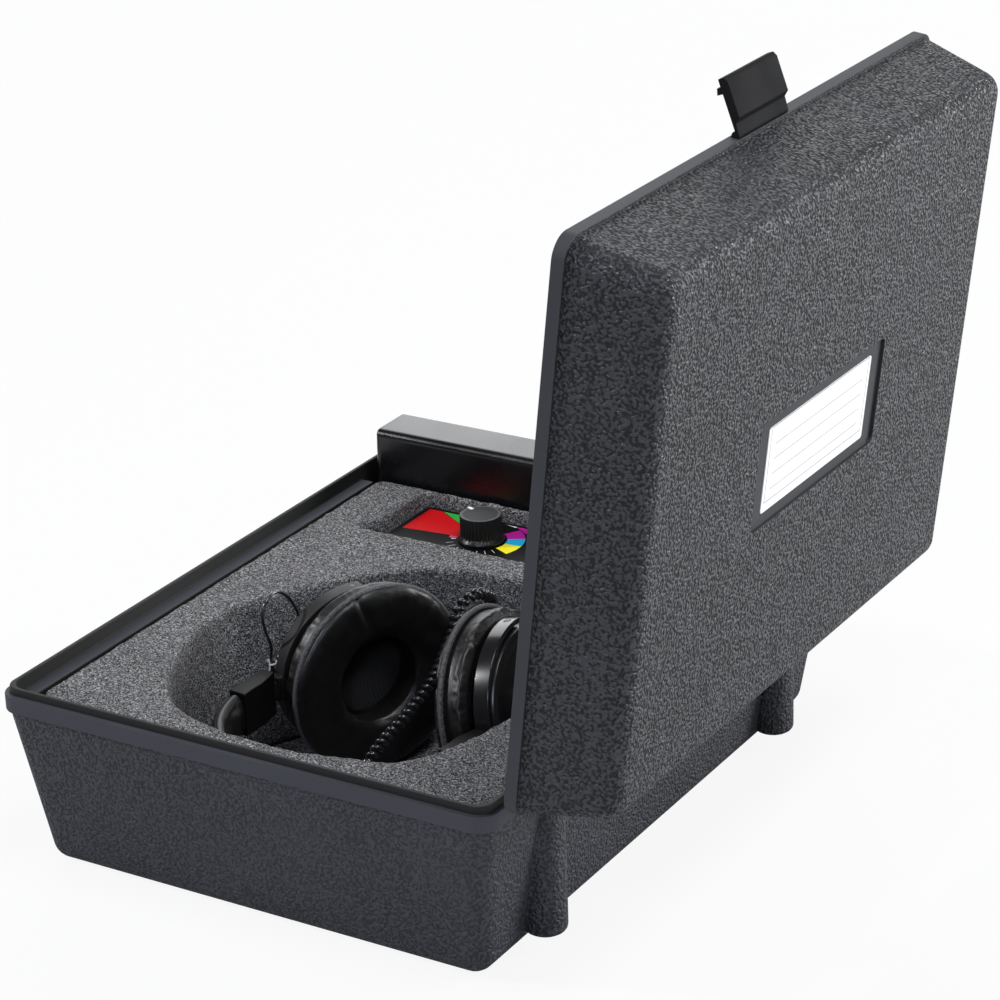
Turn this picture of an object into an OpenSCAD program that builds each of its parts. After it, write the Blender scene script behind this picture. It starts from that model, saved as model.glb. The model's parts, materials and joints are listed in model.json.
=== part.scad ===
// Portable listening tester: headphones and a rotary control unit in a foam-lined moulded case.
// The case stands on z = 0 with its middle over the origin. X runs along the hinge,
// the latch side faces -Y, the hinge side +Y, and the carrying handle is on the -X end.
// Lid pieces are drawn shut and then swung open by open_lid().

/* [Case] */
// Length of the case at its rim, along the hinge
case_l = 334; // [320:1:350]
// Width of the case at its rim, from the latch side to the hinge side
case_w = 260; // [250:1:272]
// Height of the base up to the meeting line
base_h = 87; // [84:1:94]
// Depth of the lid, from the meeting line to its outer face
lid_h = 48; // [46:1:56]
// Wall thickness of the base moulding
base_wall = 2.6; // [2:0.1:3.2]
// Wall thickness of the lid moulding
lid_wall = 2.2; // [1.8:0.1:2.6]
// How far the base's end walls lean in at the bottom
base_taper_x = 10.4; // [6:0.1:12]
// How far the base's long walls lean in at the bottom
base_taper_y = 11; // [6:0.1:12]
// How far the lid's walls lean in at its face
lid_taper = 7; // [4:0.1:9]
// Radius of the case's corners and bottom edges
corner_r = 10; // [7:0.5:12]
// Height of the smooth band under the base's rim
base_band = 8; // [6:0.5:10]
// Height of the smooth band round the lid's rim
lid_band = 6; // [4:0.5:8]
// How far the smooth bands stand out of the grained walls
band_step = 0.5; // [0.3:0.1:0.8]
// Height of the tongue that the lid closes over
tongue_h = 3.6; // [3:0.1:4.5]
// Thickness of the tongue
tongue_t = 2; // [1.6:0.1:2.4]
// Clearance between closing or sliding faces
slip = 0.3; // [0.25:0.05:0.4]
// Angle between the shut lid and the open lid
lid_open = 97; // [92:1:104]

/* [Case ribs and hinges] */
// Radius of the two standing ribs on the hinge side
rib_r = 10; // [8:0.5:10.5]
// Distance of each rib and hinge from the middle
rib_x = 110; // [100:1:120]
// How far the ribs stand out past the rim
rib_out = 2.5; // [1.5:0.5:3]
// Radius of the hinge pins
hinge_pin_r = 1.5; // [1.2:0.1:1.8]
// Outer radius of the hinge knuckles
knuckle_r = 4; // [3.6:0.1:4.2]
// Length of the lid's middle knuckle
knuckle_l = 16; // [14:1:20]
// Length of each of the base's outer knuckles
knuckle_end_l = 9; // [7:1:11]

/* [Latch] */
// Width of the latch strap
latch_w = 45; // [40:1:50]
// Length of the latch strap, from its bend to its tip
latch_l = 24.5; // [23.5:0.5:27]
// Thickness of the strap's grip plate
latch_t = 4.2; // [3.4:0.1:5]
// Radius of the strap's rolled root
latch_root_r = 1.9; // [1.7:0.1:2]
// Distance from the strap's bend to the top of its hook
latch_hook = 18; // [17.8:0.1:19]
// Angle from the strap's resting place to its latched place
latch_swing = 63; // [55:1:75]

/* [Lid panel] */
// Length of the recessed panel on the lid's face
panel_l = 118; // [110:1:124]
// Width of the recessed panel
panel_w = 51; // [46:1:56]
// Depth of the recessed panel
panel_d = 1.6; // [1.2:0.1:2]
// Length of the blank label in the panel
label_l = 98; // [90:1:102]
// Width of the blank label
label_w = 40; // [36:1:42]

/* [Carrying handle] */
// Height of the handle housing's top above the meeting line
housing_up = 25; // [20:1:28]
// Thickness of the handle housing at its top, measured along the case
housing_t = 29; // [27:0.5:31]
// Gap between each end of the housing and the case's side wall at the rim
housing_side = 12; // [10:0.5:15]
// Wall thickness of the housing
housing_wall = 2.5; // [2:0.1:3]
// Width of the handle's recess
recess_w = 105; // [98:1:112]
// Height of the handle's recess
recess_h = 45; // [43:1:48]
// Radius of the handle's pivot pins
handle_pin_r = 2; // [1.6:0.1:2.2]
// Distance from the handle's pivots to the middle of its grip
handle_reach = 27.5; // [26:0.5:29]
// Radius of the handle's grip
grip_r = 6.5; // [5.5:0.1:7]

/* [Foam] */
// Height of the foam's top below the meeting line
foam_drop = 0.5; // [0:0.1:1]
// Thickness of the foam sheet under everything
foam_floor = 4; // [3:0.1:4.5]
// Thickness of the pad glued into the lid
lid_foam_t = 24; // [20:1:26]

/* [Control unit] */
// Length of the control unit's box across the case
unit_l = 96; // [92:1:98]
// Width of the control unit's box along the case
unit_w = 52; // [48:1:53]
// Height of the control unit's box
unit_h = 42; // [38:1:46]
// Wall thickness of the control unit's box
unit_wall = 2.2; // [1.8:0.1:2.6]
// Depth of the upper half of the control unit's box
cover_h = 14; // [12:1:18]
// Thickness of the colour-coded dial plate
dial_t = 0.8; // [0.5:0.1:1]
// Radius of the selector knob at its top
knob_r = 10.7; // [9.5:0.1:11.5]
// Radius of the selector knob's skirt
knob_skirt_r = 11.8; // [11:0.1:12.6]
// Height of the selector knob
knob_h = 14.2; // [12:0.2:16]
// Radius of the switch's shaft
shaft_r = 3; // [2.5:0.1:3.2]

/* [Headphones] */
// Outer radius of the ear pads
pad_r = 47; // [44:0.5:48]
// Radius of the hole in the ear pads
pad_hole_r = 21; // [20:0.5:28]
// Thickness of the ear pads
pad_t = 18; // [15:0.5:19]
// Outer radius of the ear cups' shells
cup_r = 38; // [36:0.5:38]
// Depth of the ear cups' shells
cup_d = 10; // [9:0.5:12]
// Wall thickness of the ear cups' shells
cup_wall = 2; // [1.6:0.1:2.4]
// Inner radius of the forks that hold the cups
fork_r = 39.2; // [39:0.1:40]
// Thickness of the forks
fork_t = 2.6; // [2.2:0.1:2.8]
// Width of the forks
fork_w = 8; // [7:0.5:9]
// Radius of the cups' pivot pins
pivot_r = 1.5; // [1.2:0.1:1.8]
// Thickness of the headband's padding
band_pad_t = 9.5; // [8:0.5:10]
// Width of the headband
band_w = 22; // [18:1:24]
// Thickness of the headband's steel strip
band_steel_t = 1.2; // [1:0.1:1.6]
// Outer diameter of the curly cord's coil
coil_d = 6; // [5.4:0.1:6.4]
// Diameter of the plain cord
cord_d = 2.4; // [2.2:0.1:2.6]
// Diameter of the thin lead between the ear cups
lead_d = 1.6; // [1.4:0.1:1.8]

/* [Hidden] */
$fn = 64;
eps = 0.01;         // overlap that keeps cuts clean
soft = 0.3;         // clearance round soft pieces
hull_fn = 32;       // facets of the rounded corners inside hulls

left = 0;
right = 1;

// Case
rim_in = lid_wall + slip;                   // from the rim to the tongue's outer face
hold_in = rim_in + tongue_t;                // from the rim to the base's inner face at the rim
lid_rim_z = base_h + slip;
lid_top_z = base_h + lid_h;
hinge_y = case_w / 2 + knuckle_r + 0.8;
hinge_z = base_h - 1.5;
knuckle_gap = 0.4;
hinge_bore_r = hinge_pin_r + 0.15;
rib_low = 5;                                // underside of the ribs
rib_y = case_w / 2 + rib_out - rib_r;

// Latch, drawn hanging straight down in its latched place
latch_y = -case_w / 2 - 0.8;
latch_z = base_h + 3.3;
keeper_z = latch_z - latch_hook + 0.7;
keeper_h = 3;

// Handle housing
housing_front = -case_l / 2 + hold_in + 3.5 + housing_t;
housing_top = base_h + housing_up;
housing_low = base_wall;
housing_half = case_w / 2 - housing_side;
recess_z = 54;                              // middle of the handle's recess
recess_low = recess_z - recess_h / 2;
recess_top = recess_z + recess_h / 2;
recess_back = housing_front - 8.5;
handle_x = recess_back - 12;
handle_z = recess_top - 7.4;
arm_t = 7;
handle_half = recess_w / 2 - 1.4;
grip_ribs_l = 54;
pin_reach = recess_w / 2 + housing_wall + 4;

// Foam
foam_z = base_wall + soft;
foam_top = base_h - foam_drop;
foam_x0 = housing_front + 2.6;
foam_x1 = case_l / 2 - hold_in - 5.5;
foam_y0 = -case_w / 2 + 17;
foam_y1 = case_w / 2 - hold_in - 1.2;
pit_z = foam_z + foam_floor;                // floor of the headphones' hollow
shelf_z = 40;                               // step in the hollow's near end

// Control unit
unit_x = foam_x0 + 4 + unit_w / 2;
unit_y = -34;
unit_top = foam_top - 8;
unit_z = unit_top - unit_h;
seam_z = unit_top - cover_h;
dial_z = unit_top + dial_t;
board_z = seam_z - 3;
boss_r = 3.2;
screw_r = 1;
screw_head_r = 1.9;
socket_drop = 10.5;
battery_l = 46;
battery_w = 26.5;
battery_h = 17;
battery_gap = 0.8;                          // from the battery's end to the unit's wall
boss_x = unit_w / 2 - unit_wall - boss_r + 0.4;
boss_y = unit_l / 2 - unit_wall - boss_r + 0.4;

// Headphones: each list has the left side and then the right. They lie on the foam's floor
cup_lean = [0, 12];
pad_back = 6.2;                             // from the pivot axis to the pad's flat back
seam_at = pad_t * 0.67;                     // from the pad's back to its seam
phones_turn = -3;                           // how far they lie turned in their hollow
pivot_at = [[11.3, -39.6, pit_z + soft + pad_r],
    [10.5, 57, pit_z + soft + pad_r * cos(cup_lean[right]) + (pad_back + seam_at) * sin(cup_lean[right])]];
pad_faces = [69.5, -83];
band_z = 54;
arm_y = [-57, 62.4];
arm_end_x = 55.2;
slider_l = 18;
fork_mid = fork_r + fork_t / 2;
band_mid_y = (arm_y[0] + arm_y[1]) / 2;
band_r = (arm_y[1] - arm_y[0]) / 2;
band_bend_x = 73.6;
band_end_l = 8;                             // how far the moulded ends run round the bend
slide_t = 2;
slide_w = 8;
grille_x = pad_back + 3.2;
driver_r = 17;
magnet_r = 9;
magnet_l = 5.8;
cup_roll = 8.5;                             // width of the rounded ring round a cup's sunk back
cup_boss_r = 12;
relief_l = 8;
relief_at = cup_r - 1.5;

// Route of the curly part of the cord, from the left cup's relief to the hollow's floor
coil_route = [[-41, -19, 56], [-45, -9, 65], [-43, 3, 75], [-34, 9, 83], [-24, 8, 88],
    [-15, 4, 84], [-11, 3, 75], [-1, 4, 67], [13, 5, 58], [33, 3, 48], [54, -1, 38], [72, -1, 26],
    [88, 4, 15], [104, 8, 10.2], [118, 18, 10.2], [120, 34, 10.2], [108, 47, 10.2], [91, 47, 10.2],
    [79, 36, 10.2], [73, 22, 10.2]];
// Route of the plain tail, from the end of the curls to the plug
tail_route = [[73, 22, 10.2], [71, 16, 10], [69, 7, 9], [69, -2, 9], [71, -10, 10], [74, -17, 10.2]];
// Route of the thin lead, from the headband's left end through its loop to the left cup's back
lead_route = [[55, -62.5, 46], [48, -65, 46], [42, -66, 51], [38.4, -67, 57], [37.4, -67, 62.5],
    [41.5, -66.5, 72], [45.5, -66, 81], [47.5, -66, 90], [44, -66, 96], [37.5, -66, 98],
    [30, -66, 95], [22.5, -66, 87], [17.5, -66, 76], [19, -66, 69], [26, -66.5, 64.8],
    [35.6, -67, 62.5], [37, -67, 55], [36, -66, 46], [34, -63, 39], [31.2, -57.6, 35]];
plug_turn = -73;
function turned(v, a) = [v[0] * cos(a) - v[1] * sin(a), v[0] * sin(a) + v[1] * cos(a), v[2]];
// End of the relief on the left cup, and the way the cord leaves it
relief_tip = turned(pivot_at[left] + turned([-1, relief_at + relief_l + 0.02, 0], pad_faces[left]),
    phones_turn);
relief_way = turned([0, 1, 0], pad_faces[left] + phones_turn);

// ---- shared shapes ----

module at_corners(half_x, half_y) {
    for (sx = [-1, 1], sy = [-1, 1]) translate([sx * half_x, sy * half_y, 0]) children();
}

module rounded_rect(size_x, size_y, r) {
    at_corners(size_x / 2 - r, size_y / 2 - r) circle(r);
    square([size_x - 2 * r, size_y], center = true);
    square([size_x, size_y - 2 * r], center = true);
}

// Block with rounded upright edges, standing on z = 0
module rounded_block(size_x, size_y, size_z, r) {
    linear_extrude(size_z) rounded_rect(size_x, size_y, r);
}

// Tray form: round-edged floor at low_z, upright corners at high_z, leaning walls between
module tray_form(low_x, low_y, low_z, high_x, high_y, high_z, r, way) {
    hull() {
        translate([0, 0, low_z + way * r])
            at_corners(low_x / 2 - r, low_y / 2 - r) sphere(r, $fn = hull_fn);
        translate([0, 0, min(high_z, high_z - way)])
            at_corners(high_x / 2 - r, high_y / 2 - r) cylinder(1, r = r, $fn = hull_fn);
    }
}

module open_lid() {
    translate([0, hinge_y, hinge_z]) rotate([-lid_open, 0, 0])
        translate([0, -hinge_y, -hinge_z]) children();
}

module swing_latch() {
    translate([0, latch_y, latch_z]) rotate([-latch_swing, 0, 0]) children();
}

// Round bar along X or along Y, centred on its own middle
module bar_x(r, l) { rotate([0, 90, 0]) cylinder(l, r = r, center = true); }
module bar_y(r, l) { rotate([90, 0, 0]) cylinder(l, r = r, center = true); }

module at_phones() { rotate([0, 0, phones_turn]) children(); }

// Puts a piece drawn round the cup's pivot in its place on one side.
// Local +X is the way the pad faces and local Z is the pivot axis.
module at_cup(side) {
    at_phones() translate(pivot_at[side])
        rotate([cup_lean[side], 0, 0]) rotate([0, 0, pad_faces[side]]) children();
}

// Ring or disc round the way the pad faces: profile is given as [radius, distance along X]
module cup_turned(profile) { rotate([0, 90, 0]) rotate_extrude() polygon(profile); }

// ---- swept cords ----

function unit_of(v) = v / norm(v);
// Smooth point between p[i] and p[i + 1]
function mid_way(p, i, t) =
    let (a = p[max(i - 1, 0)], b = p[i], c = p[i + 1], d = p[min(i + 2, len(p) - 1)])
    0.5 * (2 * b + (c - a) * t + (2 * a - 5 * b + 4 * c - d) * t * t
        + (3 * b - a - 3 * c + d) * t * t * t);
function smooth(p, n) = [for (i = [0 : len(p) - 2], k = [0 : n - 1]) mid_way(p, i, k / n),
    p[len(p) - 1]];
function heading(p, i) = unit_of(p[min(i + 1, len(p) - 1)] - p[max(i - 1, 0)]);
// Side vector carried along the route without twisting
function carried(p, i, side) =
    let (t = heading(p, i), s = side - (side * t) * t) unit_of(s);
function side_vectors(p, side) =
    [for (i = 0, s = carried(p, 0, side); i < len(p);
        i = i + 1, s = i < len(p) ? carried(p, i, s) : s) s];

// Closed tube of radius r along the points of p
module tube(p, r, sides) {
    n = len(p);
    first = cross(heading(p, 0), [0.3, 0.2, 1]);
    s = side_vectors(p, first);
    rings = [for (i = [0 : n - 1], k = [0 : sides - 1])
        let (t = heading(p, i), u = s[i], v = cross(t, u), a = 360 * k / sides)
        p[i] + r * (cos(a) * u + sin(a) * v)];
    walls = [for (i = [0 : n - 2], k = [0 : sides - 1])
        [i * sides + k, (i + 1) * sides + k,
            (i + 1) * sides + (k + 1) % sides, i * sides + (k + 1) % sides]];
    polyhedron(rings, concat(walls, [[for (k = [0 : sides - 1]) k]],
        [[for (k = [sides - 1 : -1 : 0]) (n - 1) * sides + k]]), convexity = 8);
}

// ---- case ----

function base_in(z) = 1 - z / base_h;       // share of the taper at height z

module base_solid() {
    top = base_h - base_band;
    tray_form(case_l - 2 * base_taper_x - 2 * band_step, case_w - 2 * base_taper_y - 2 * band_step, 0,
        case_l - 2 * (band_step + base_taper_x * base_in(top)),
        case_w - 2 * (band_step + base_taper_y * base_in(top)), top + eps, corner_r, 1);
    translate([0, 0, top]) rounded_block(case_l, case_w, base_band, corner_r);
    rounded_tongue();
    for (sx = [-1, 1]) translate([sx * rib_x, rib_y, 0]) standing_rib(0);
}

// Inside of the base, shrunk by gap all round
module base_hollow(gap) {
    low_in = base_wall + band_step + gap;
    tray_form(case_l - 2 * (base_taper_x + low_in), case_w - 2 * (base_taper_y + low_in), base_wall,
        case_l - 2 * (hold_in + gap), case_w - 2 * (hold_in + gap), base_h + tongue_h + 1,
        corner_r - base_wall, 1);
}

module rounded_tongue() {
    translate([0, 0, base_h - eps])
        rounded_block(case_l - 2 * rim_in, case_w - 2 * rim_in, tongue_h + eps, corner_r - rim_in);
}

// Round rib up to the smooth band, with its lower edge rounded, shrunk by gap all round
module standing_rib(gap) {
    r = rib_r - gap;
    top = base_h - base_band + eps - rib_low - 2 * gap;
    translate([0, 0, rib_low + gap]) rotate_extrude() polygon(concat([[0, 0]],
        [for (a = [0 : 22.5 : 90]) [r - 3 + 3 * sin(a), 3 - 3 * cos(a)]], [[r, top], [0, top]]));
}

module base_shell() color("#4b4d50") {
    difference() {
        base_solid();
        base_hollow(0);
        for (sx = [-1, 1]) translate([sx * rib_x, rib_y, 0]) standing_rib(base_wall);
        translate([-case_l / 2, 0, recess_z])
            cube([40, recess_w, recess_h], center = true);
    }
    latch_rail();
    latch_keeper();
    for (sx = [-1, 1]) translate([sx * rib_x, hinge_y, hinge_z]) base_knuckles();
}

// Shelf along the latch side, just under the rim
module latch_rail() {
    depth = 8;
    translate([foam_x0, -case_w / 2 + hold_in - eps, base_h - 7])
        cube([foam_x1 - foam_x0, depth, 4]);
}

// Ridge that the latch's hook catches under
module latch_keeper() {
    translate([0, -case_w / 2 + 1.6, keeper_z + keeper_h / 2])
        cube([latch_w - 5, 2 * 2.2, keeper_h], center = true);
}

module base_knuckles() {
    for (sx = [-1, 1]) translate([sx * (knuckle_l + knuckle_end_l + 2 * knuckle_gap) / 2, 0, 0])
        difference() {
            union() {
                bar_x(knuckle_r, knuckle_end_l);
                translate([-knuckle_end_l / 2, -knuckle_r - 1.2, -knuckle_r])
                    cube([knuckle_end_l, knuckle_r + 1.2, knuckle_r]);
            }
            bar_x(hinge_pin_r, knuckle_end_l + 2);
        }
}

module lid_shell() color("#55575a") open_lid() {
    difference() {
        union() {
            band_top = lid_rim_z + lid_band;
            translate([0, 0, lid_rim_z]) rounded_block(case_l, case_w, lid_band, corner_r);
            tray_form(case_l - 2 * (lid_taper + band_step), case_w - 2 * (lid_taper + band_step),
                lid_top_z, case_l - 2 * (band_step + 1), case_w - 2 * (band_step + 1),
                band_top - eps, corner_r, -1);
        }
        tray_form(case_l - 2 * (lid_taper + band_step + lid_wall),
            case_w - 2 * (lid_taper + band_step + lid_wall), lid_top_z - lid_wall,
            case_l - 2 * (band_step + 1 + lid_wall), case_w - 2 * (band_step + 1 + lid_wall),
            lid_rim_z + tongue_h, corner_r - lid_wall, -1);
        translate([0, 0, lid_rim_z - 1]) rounded_block(case_l - 2 * lid_wall, case_w - 2 * lid_wall,
            tongue_h + slip + 1, corner_r - lid_wall);
        translate([0, 0, lid_top_z - panel_d]) rounded_block(panel_l, panel_w, panel_d + 1, 3);
        translate([0, latch_y, latch_z]) bar_x(latch_root_r + 0.2, latch_w + 0.6);
    }
    panel_back();
    for (sx = [-1, 1]) translate([sx * rib_x, hinge_y, hinge_z]) lid_knuckle();
}

// Thickens the face behind the recessed panel
module panel_back() {
    translate([0, 0, lid_top_z - panel_d - lid_wall])
        rounded_block(panel_l + 6, panel_w + 6, lid_wall - panel_d + 1.2, 4);
}

module lid_knuckle() {
    rise = lid_rim_z + lid_band - 1 - hinge_z;
    difference() {
        union() {
            bar_x(knuckle_r, knuckle_l);
            translate([-knuckle_l / 2, -knuckle_r - 1.2, lid_rim_z - hinge_z])
                cube([knuckle_l, knuckle_r + 1.2, rise - lid_rim_z + hinge_z]);
            translate([-knuckle_l / 2, -2, 0]) cube([knuckle_l, knuckle_r + 2, rise]);
        }
        bar_x(hinge_bore_r, knuckle_l + 2);
    }
}

module hinge_pins() color("silver")
    for (sx = [-1, 1]) translate([sx * rib_x, hinge_y, hinge_z])
        bar_x(hinge_pin_r, knuckle_l + 2 * knuckle_end_l + 2 * knuckle_gap);

module latch_strap() color("#47494c") open_lid() swing_latch() {
    inner = -0.4;                           // face towards the case
    bar_x(latch_root_r, latch_w);
    rotate([90, 0, 90]) linear_extrude(latch_w, center = true) polygon([
        [-1.9, 0], [inner, -1.2], [inner, -latch_hook], [2.3, -latch_hook], [1.4, -latch_hook - 3],
        [inner, -latch_hook - 3], [inner, -latch_l], [inner - latch_t + 1.2, -latch_l],
        [inner - latch_t, -latch_l + 2], [inner - latch_t, -7], [-2.2, -5]]);
}

module lid_label() color("white") open_lid()
    translate([0, 0, lid_top_z - panel_d]) rounded_block(label_l, label_w, 0.4, 1.5);

module lid_foam() color("#3c3d40") open_lid() {
    x0 = foam_x0 + 1;
    x1 = case_l / 2 - lid_taper - lid_wall - band_step - 4;
    size_y = case_w - 2 * (lid_taper + lid_wall + band_step + 6);
    translate([(x0 + x1) / 2, 0, lid_top_z - lid_wall - (lid_wall - panel_d + 1.2) - lid_foam_t])
        rounded_block(x1 - x0, size_y, lid_foam_t, 6);
}

// ---- carrying handle ----

// Side view of the housing, in X and Z, shrunk by inset
module housing_side_view(inset) {
    back_low = -case_l / 2 + base_taper_x + band_step + base_wall + soft;
    back_rim = -case_l / 2 + hold_in + 1;
    back_top = back_rim + 3;
    r = 4;
    front = housing_front - inset;
    top = housing_top - inset;
    polygon(concat([[front, housing_low + inset], [back_low + corner_r + inset, housing_low + inset],
        [back_low + inset, corner_r + 2], [back_rim + inset, base_h]],
        [for (a = [180 : -15 : 90]) [back_top + inset + r + r * cos(a), top - r + r * sin(a)]],
        [for (a = [90 : -15 : 0]) [front - r + r * cos(a), top - r + r * sin(a)]]));
}

// End view of the housing, in Y and Z: it narrows with the case towards the floor
module housing_end_view(inset) {
    low = case_w / 2 - base_taper_y - band_step - base_wall - soft - inset;
    half = housing_half - inset;
    side = [[low - corner_r, housing_low + inset], [low, corner_r + 2], [half, base_h / 2],
        [half, base_h], [half - 1.5, housing_top - inset]];
    polygon(concat(side, [for (k = [len(side) - 1 : -1 : 0]) [-side[k][0], side[k][1]]]));
}

module housing_block(inset) {
    intersection() {
        rotate([90, 0, 0]) linear_extrude(2 * housing_half, center = true) housing_side_view(inset);
        translate([-case_l / 2, 0, 0]) rotate([90, 0, 90]) linear_extrude(case_l / 2)
            housing_end_view(inset);
        union() {
            housing_plan(inset, base_h - 3, housing_top + 1, 4);
            intersection() {
                housing_plan(inset, 0, base_h - 3 + eps, 4);
                base_hollow(soft + inset);
            }
        }
    }
}

// Plan of the housing between two heights
module housing_plan(inset, low, high, r) {
    back = -case_l / 2 + hold_in + 1 + inset;
    front = housing_front - inset;
    translate([(back + front) / 2, 0, low])
        rounded_block(front - back, 2 * (housing_half - inset), high - low, r);
}

module handle_housing() color("#2e3033") {
    mouth = 40;
    difference() {
        housing_block(0);
        difference() {
            union() {
                housing_block(housing_wall);
                translate([-case_l / 2, 0, (corner_r + base_h) / 2])
                    cube([mouth, 2 * (housing_half - housing_wall),
                        base_h - corner_r - 8], center = true);
            }
            recess_tray();
            recess_cheeks();
        }
        recess_hollow();
        handle_bores();
    }
}

module recess_tray() {
    size_y = recess_w + 2 * housing_wall;
    size_z = recess_h + 2 * housing_wall;
    translate([recess_back + housing_wall - 40, -size_y / 2, recess_z - size_z / 2])
        cube([40, size_y, size_z]);
    for (sy = [-1, 1]) translate([handle_x, sy * (pin_reach - 3), handle_z]) bar_y(4.5, 6);
}

// Full-height walls at the ends of the recess, which tie it to the housing's front
module recess_cheeks() {
    for (sy = [-1, 1]) translate([housing_front - 45, sy * (recess_w + housing_wall) / 2, 0])
        translate([0, -housing_wall / 2, 0]) cube([45, housing_wall, housing_top]);
}

module recess_hollow() {
    translate([recess_back - 40, -recess_w / 2, recess_low]) cube([40, recess_w, recess_h]);
}

module handle_bores() {
    translate([handle_x, 0, handle_z]) bar_y(handle_pin_r, 2 * pin_reach + 1);
}

module carry_handle() color("#26282a") {
    bore_r = handle_pin_r + 0.2;
    difference() {
        union() {
            translate([handle_x, 0, handle_z - handle_reach]) grip();
            for (sy = [-1, 1]) translate([handle_x, sy * (handle_half - arm_t / 2), handle_z]) {
                bar_y(5, arm_t);
                translate([-4, -arm_t / 2, -handle_reach]) cube([8, arm_t, handle_reach]);
                translate([0, 0, -handle_reach]) bar_y(5.5, arm_t);
            }
        }
        translate([handle_x, 0, handle_z]) bar_y(bore_r, 2 * handle_half + 1);
    }
}

// Ribbed round grip, a little fuller in its middle
module grip() {
    half = handle_half - arm_t / 2;
    rotate([90, 0, 0]) rotate_extrude() polygon(concat([[0, -half]],
        [for (k = [0 : 4]) [grip_r - 1.2 + 0.3 * k, -half + k * 4]],
        [for (k = [0 : 11], e = [0, 1])
            [grip_r - (e == 0 ? 0 : 0.7), (k / 11 - 0.5) * grip_ribs_l - 1 + 2 * e]],
        [for (k = [4 : -1 : 0]) [grip_r - 1.2 + 0.3 * k, half - k * 4]], [[0, half]]));
}

module handle_pins() color("silver")
    for (sy = [-1, 1]) translate([handle_x, sy * (handle_half - arm_t + pin_reach) / 2, handle_z])
        bar_y(handle_pin_r, pin_reach - handle_half + arm_t);

// ---- foam ----

// Wavy hand-cut outline of the headphones' hollow
hollow_outline = [[126, -63], [141, -43], [148, -12], [149, 18], [143, 46], [138, 65], [124, 75],
    [107, 82], [86, 86], [66, 91], [38, 97], [0, 98], [-32, 93], [-51, 77], [-56, 48], [-50, 18],
    [-49, -8], [-42, -30], [-26, -48], [-10, -61], [8, -73], [26, -83], [40, -90], [66, -89], [99, -79]];

function wrap(p, i) = p[(i + len(p)) % len(p)];
// Closed smooth curve through the outline's points
function closed_smooth(p, n) = [for (i = [0 : len(p) - 1], k = [0 : n - 1])
    mid_way([wrap(p, i - 1), wrap(p, i), wrap(p, i + 1), wrap(p, i + 2)], 1, k / n)];

module hollow_plan() { polygon(closed_smooth(hollow_outline, 3)); }

module unit_pocket_plan() {
    gap = 0.8;
    x1 = unit_x + unit_w / 2 + gap;
    x0 = unit_x - unit_w / 2 - gap;
    y0 = unit_y - unit_l / 2 - gap;
    y1 = unit_y + unit_l / 2 + gap;
    polygon([[x1, y1], [x0, y1], [x0, y0], [x1 - 12, y0 - 1], [x1 - 3, y0 - 6], [x1, y0 - 11]]);
}

// Outer form of the foam between two heights
module foam_block(low, high) {
    lean = 10;
    intersection() {
        hull() {
            translate([0, 0, foam_top - 1]) linear_extrude(1) foam_plan(0, 0);
            translate([0, 0, foam_z]) linear_extrude(1) foam_plan(lean, lean + 5);
        }
        translate([-case_l / 2, -case_w / 2, low]) cube([case_l, case_w, high - low]);
    }
}

// Sheet under the cut block, which is the floor of the headphones' hollow
module foam_sheet() color("#5f6062") foam_block(foam_z - eps, pit_z);

module foam_insert() color("#6a6b6d") difference() {
    foam_block(pit_z, foam_top + eps);
    translate([0, 0, shelf_z]) linear_extrude(base_h) hollow_plan();
    linear_extrude(base_h) intersection() {
        hollow_plan();
        translate([-80, -120]) square([212, 240]);
    }
    translate([0, 0, unit_z - soft]) linear_extrude(base_h) unit_pocket_plan();
}

module foam_plan(in_x, in_y) {
    x1 = foam_x1 - in_x;
    y1 = foam_y1 - in_y;
    y0 = foam_y0 + in_y / 2;
    translate([(foam_x0 + x1) / 2, (y0 + y1) / 2]) rounded_rect(x1 - foam_x0, y1 - y0, 6);
}

// ---- control unit ----

module at_unit(z) { translate([unit_x, unit_y, z]) children(); }

module unit_base() color("#1f2022") at_unit(unit_z) {
    depth = seam_z - unit_z;
    difference() {
        rounded_block(unit_w, unit_l, depth, 3);
        translate([0, 0, unit_wall])
            rounded_block(unit_w - 2 * unit_wall, unit_l - 2 * unit_wall, depth, 1.5);
        battery_mouth(slip);
        translate([0, unit_l / 2, depth - socket_drop]) bar_y(4, 10);
    }
    for (sx = [-1, 1], sy = [-1, 1]) translate([sx * boss_x, sy * boss_y, 0]) difference() {
        cylinder(depth, r = boss_r);
        translate([0, 0, -1]) cylinder(depth + 2, r = screw_r + 0.1);
        translate([0, 0, -1]) cylinder(5, r = screw_head_r + 0.2);
    }
}

// Mouth of the battery bay in the unit's floor
module battery_mouth(gap) {
    translate([0, -unit_l / 4, -1])
        rounded_block(29 + 2 * gap, 30 + 2 * gap, unit_wall + 2, 2);
}

module battery_door() color("#1b1c1e") at_unit(unit_z) {
    translate([0, -unit_l / 4, 0]) rounded_block(29, 30, unit_wall, 2);
}

module unit_cover() color("#232427") at_unit(seam_z) {
    difference() {
        rounded_block(unit_w, unit_l, cover_h, 3);
        translate([0, 0, -1])
            rounded_block(unit_w - 2 * unit_wall, unit_l - 2 * unit_wall, cover_h - unit_wall + 1, 1.5);
        cylinder(cover_h + 1, r = shaft_r + 2);
    }
    for (sx = [-1, 1], sy = [-1, 1]) translate([sx * boss_x, sy * boss_y, 0]) difference() {
        cylinder(cover_h - 1, r = boss_r);
        translate([0, 0, -1]) cylinder(9, r = screw_r);
    }
}

// Printed plate with the colour code round the knob
module dial_plate() color("#17181a") at_unit(unit_top) difference() {
    rounded_block(unit_w - 4, unit_l - 4, dial_t, 2);
    translate([0, 0, -1]) cylinder(dial_t + 2, r = shaft_r + 4);
}

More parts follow.
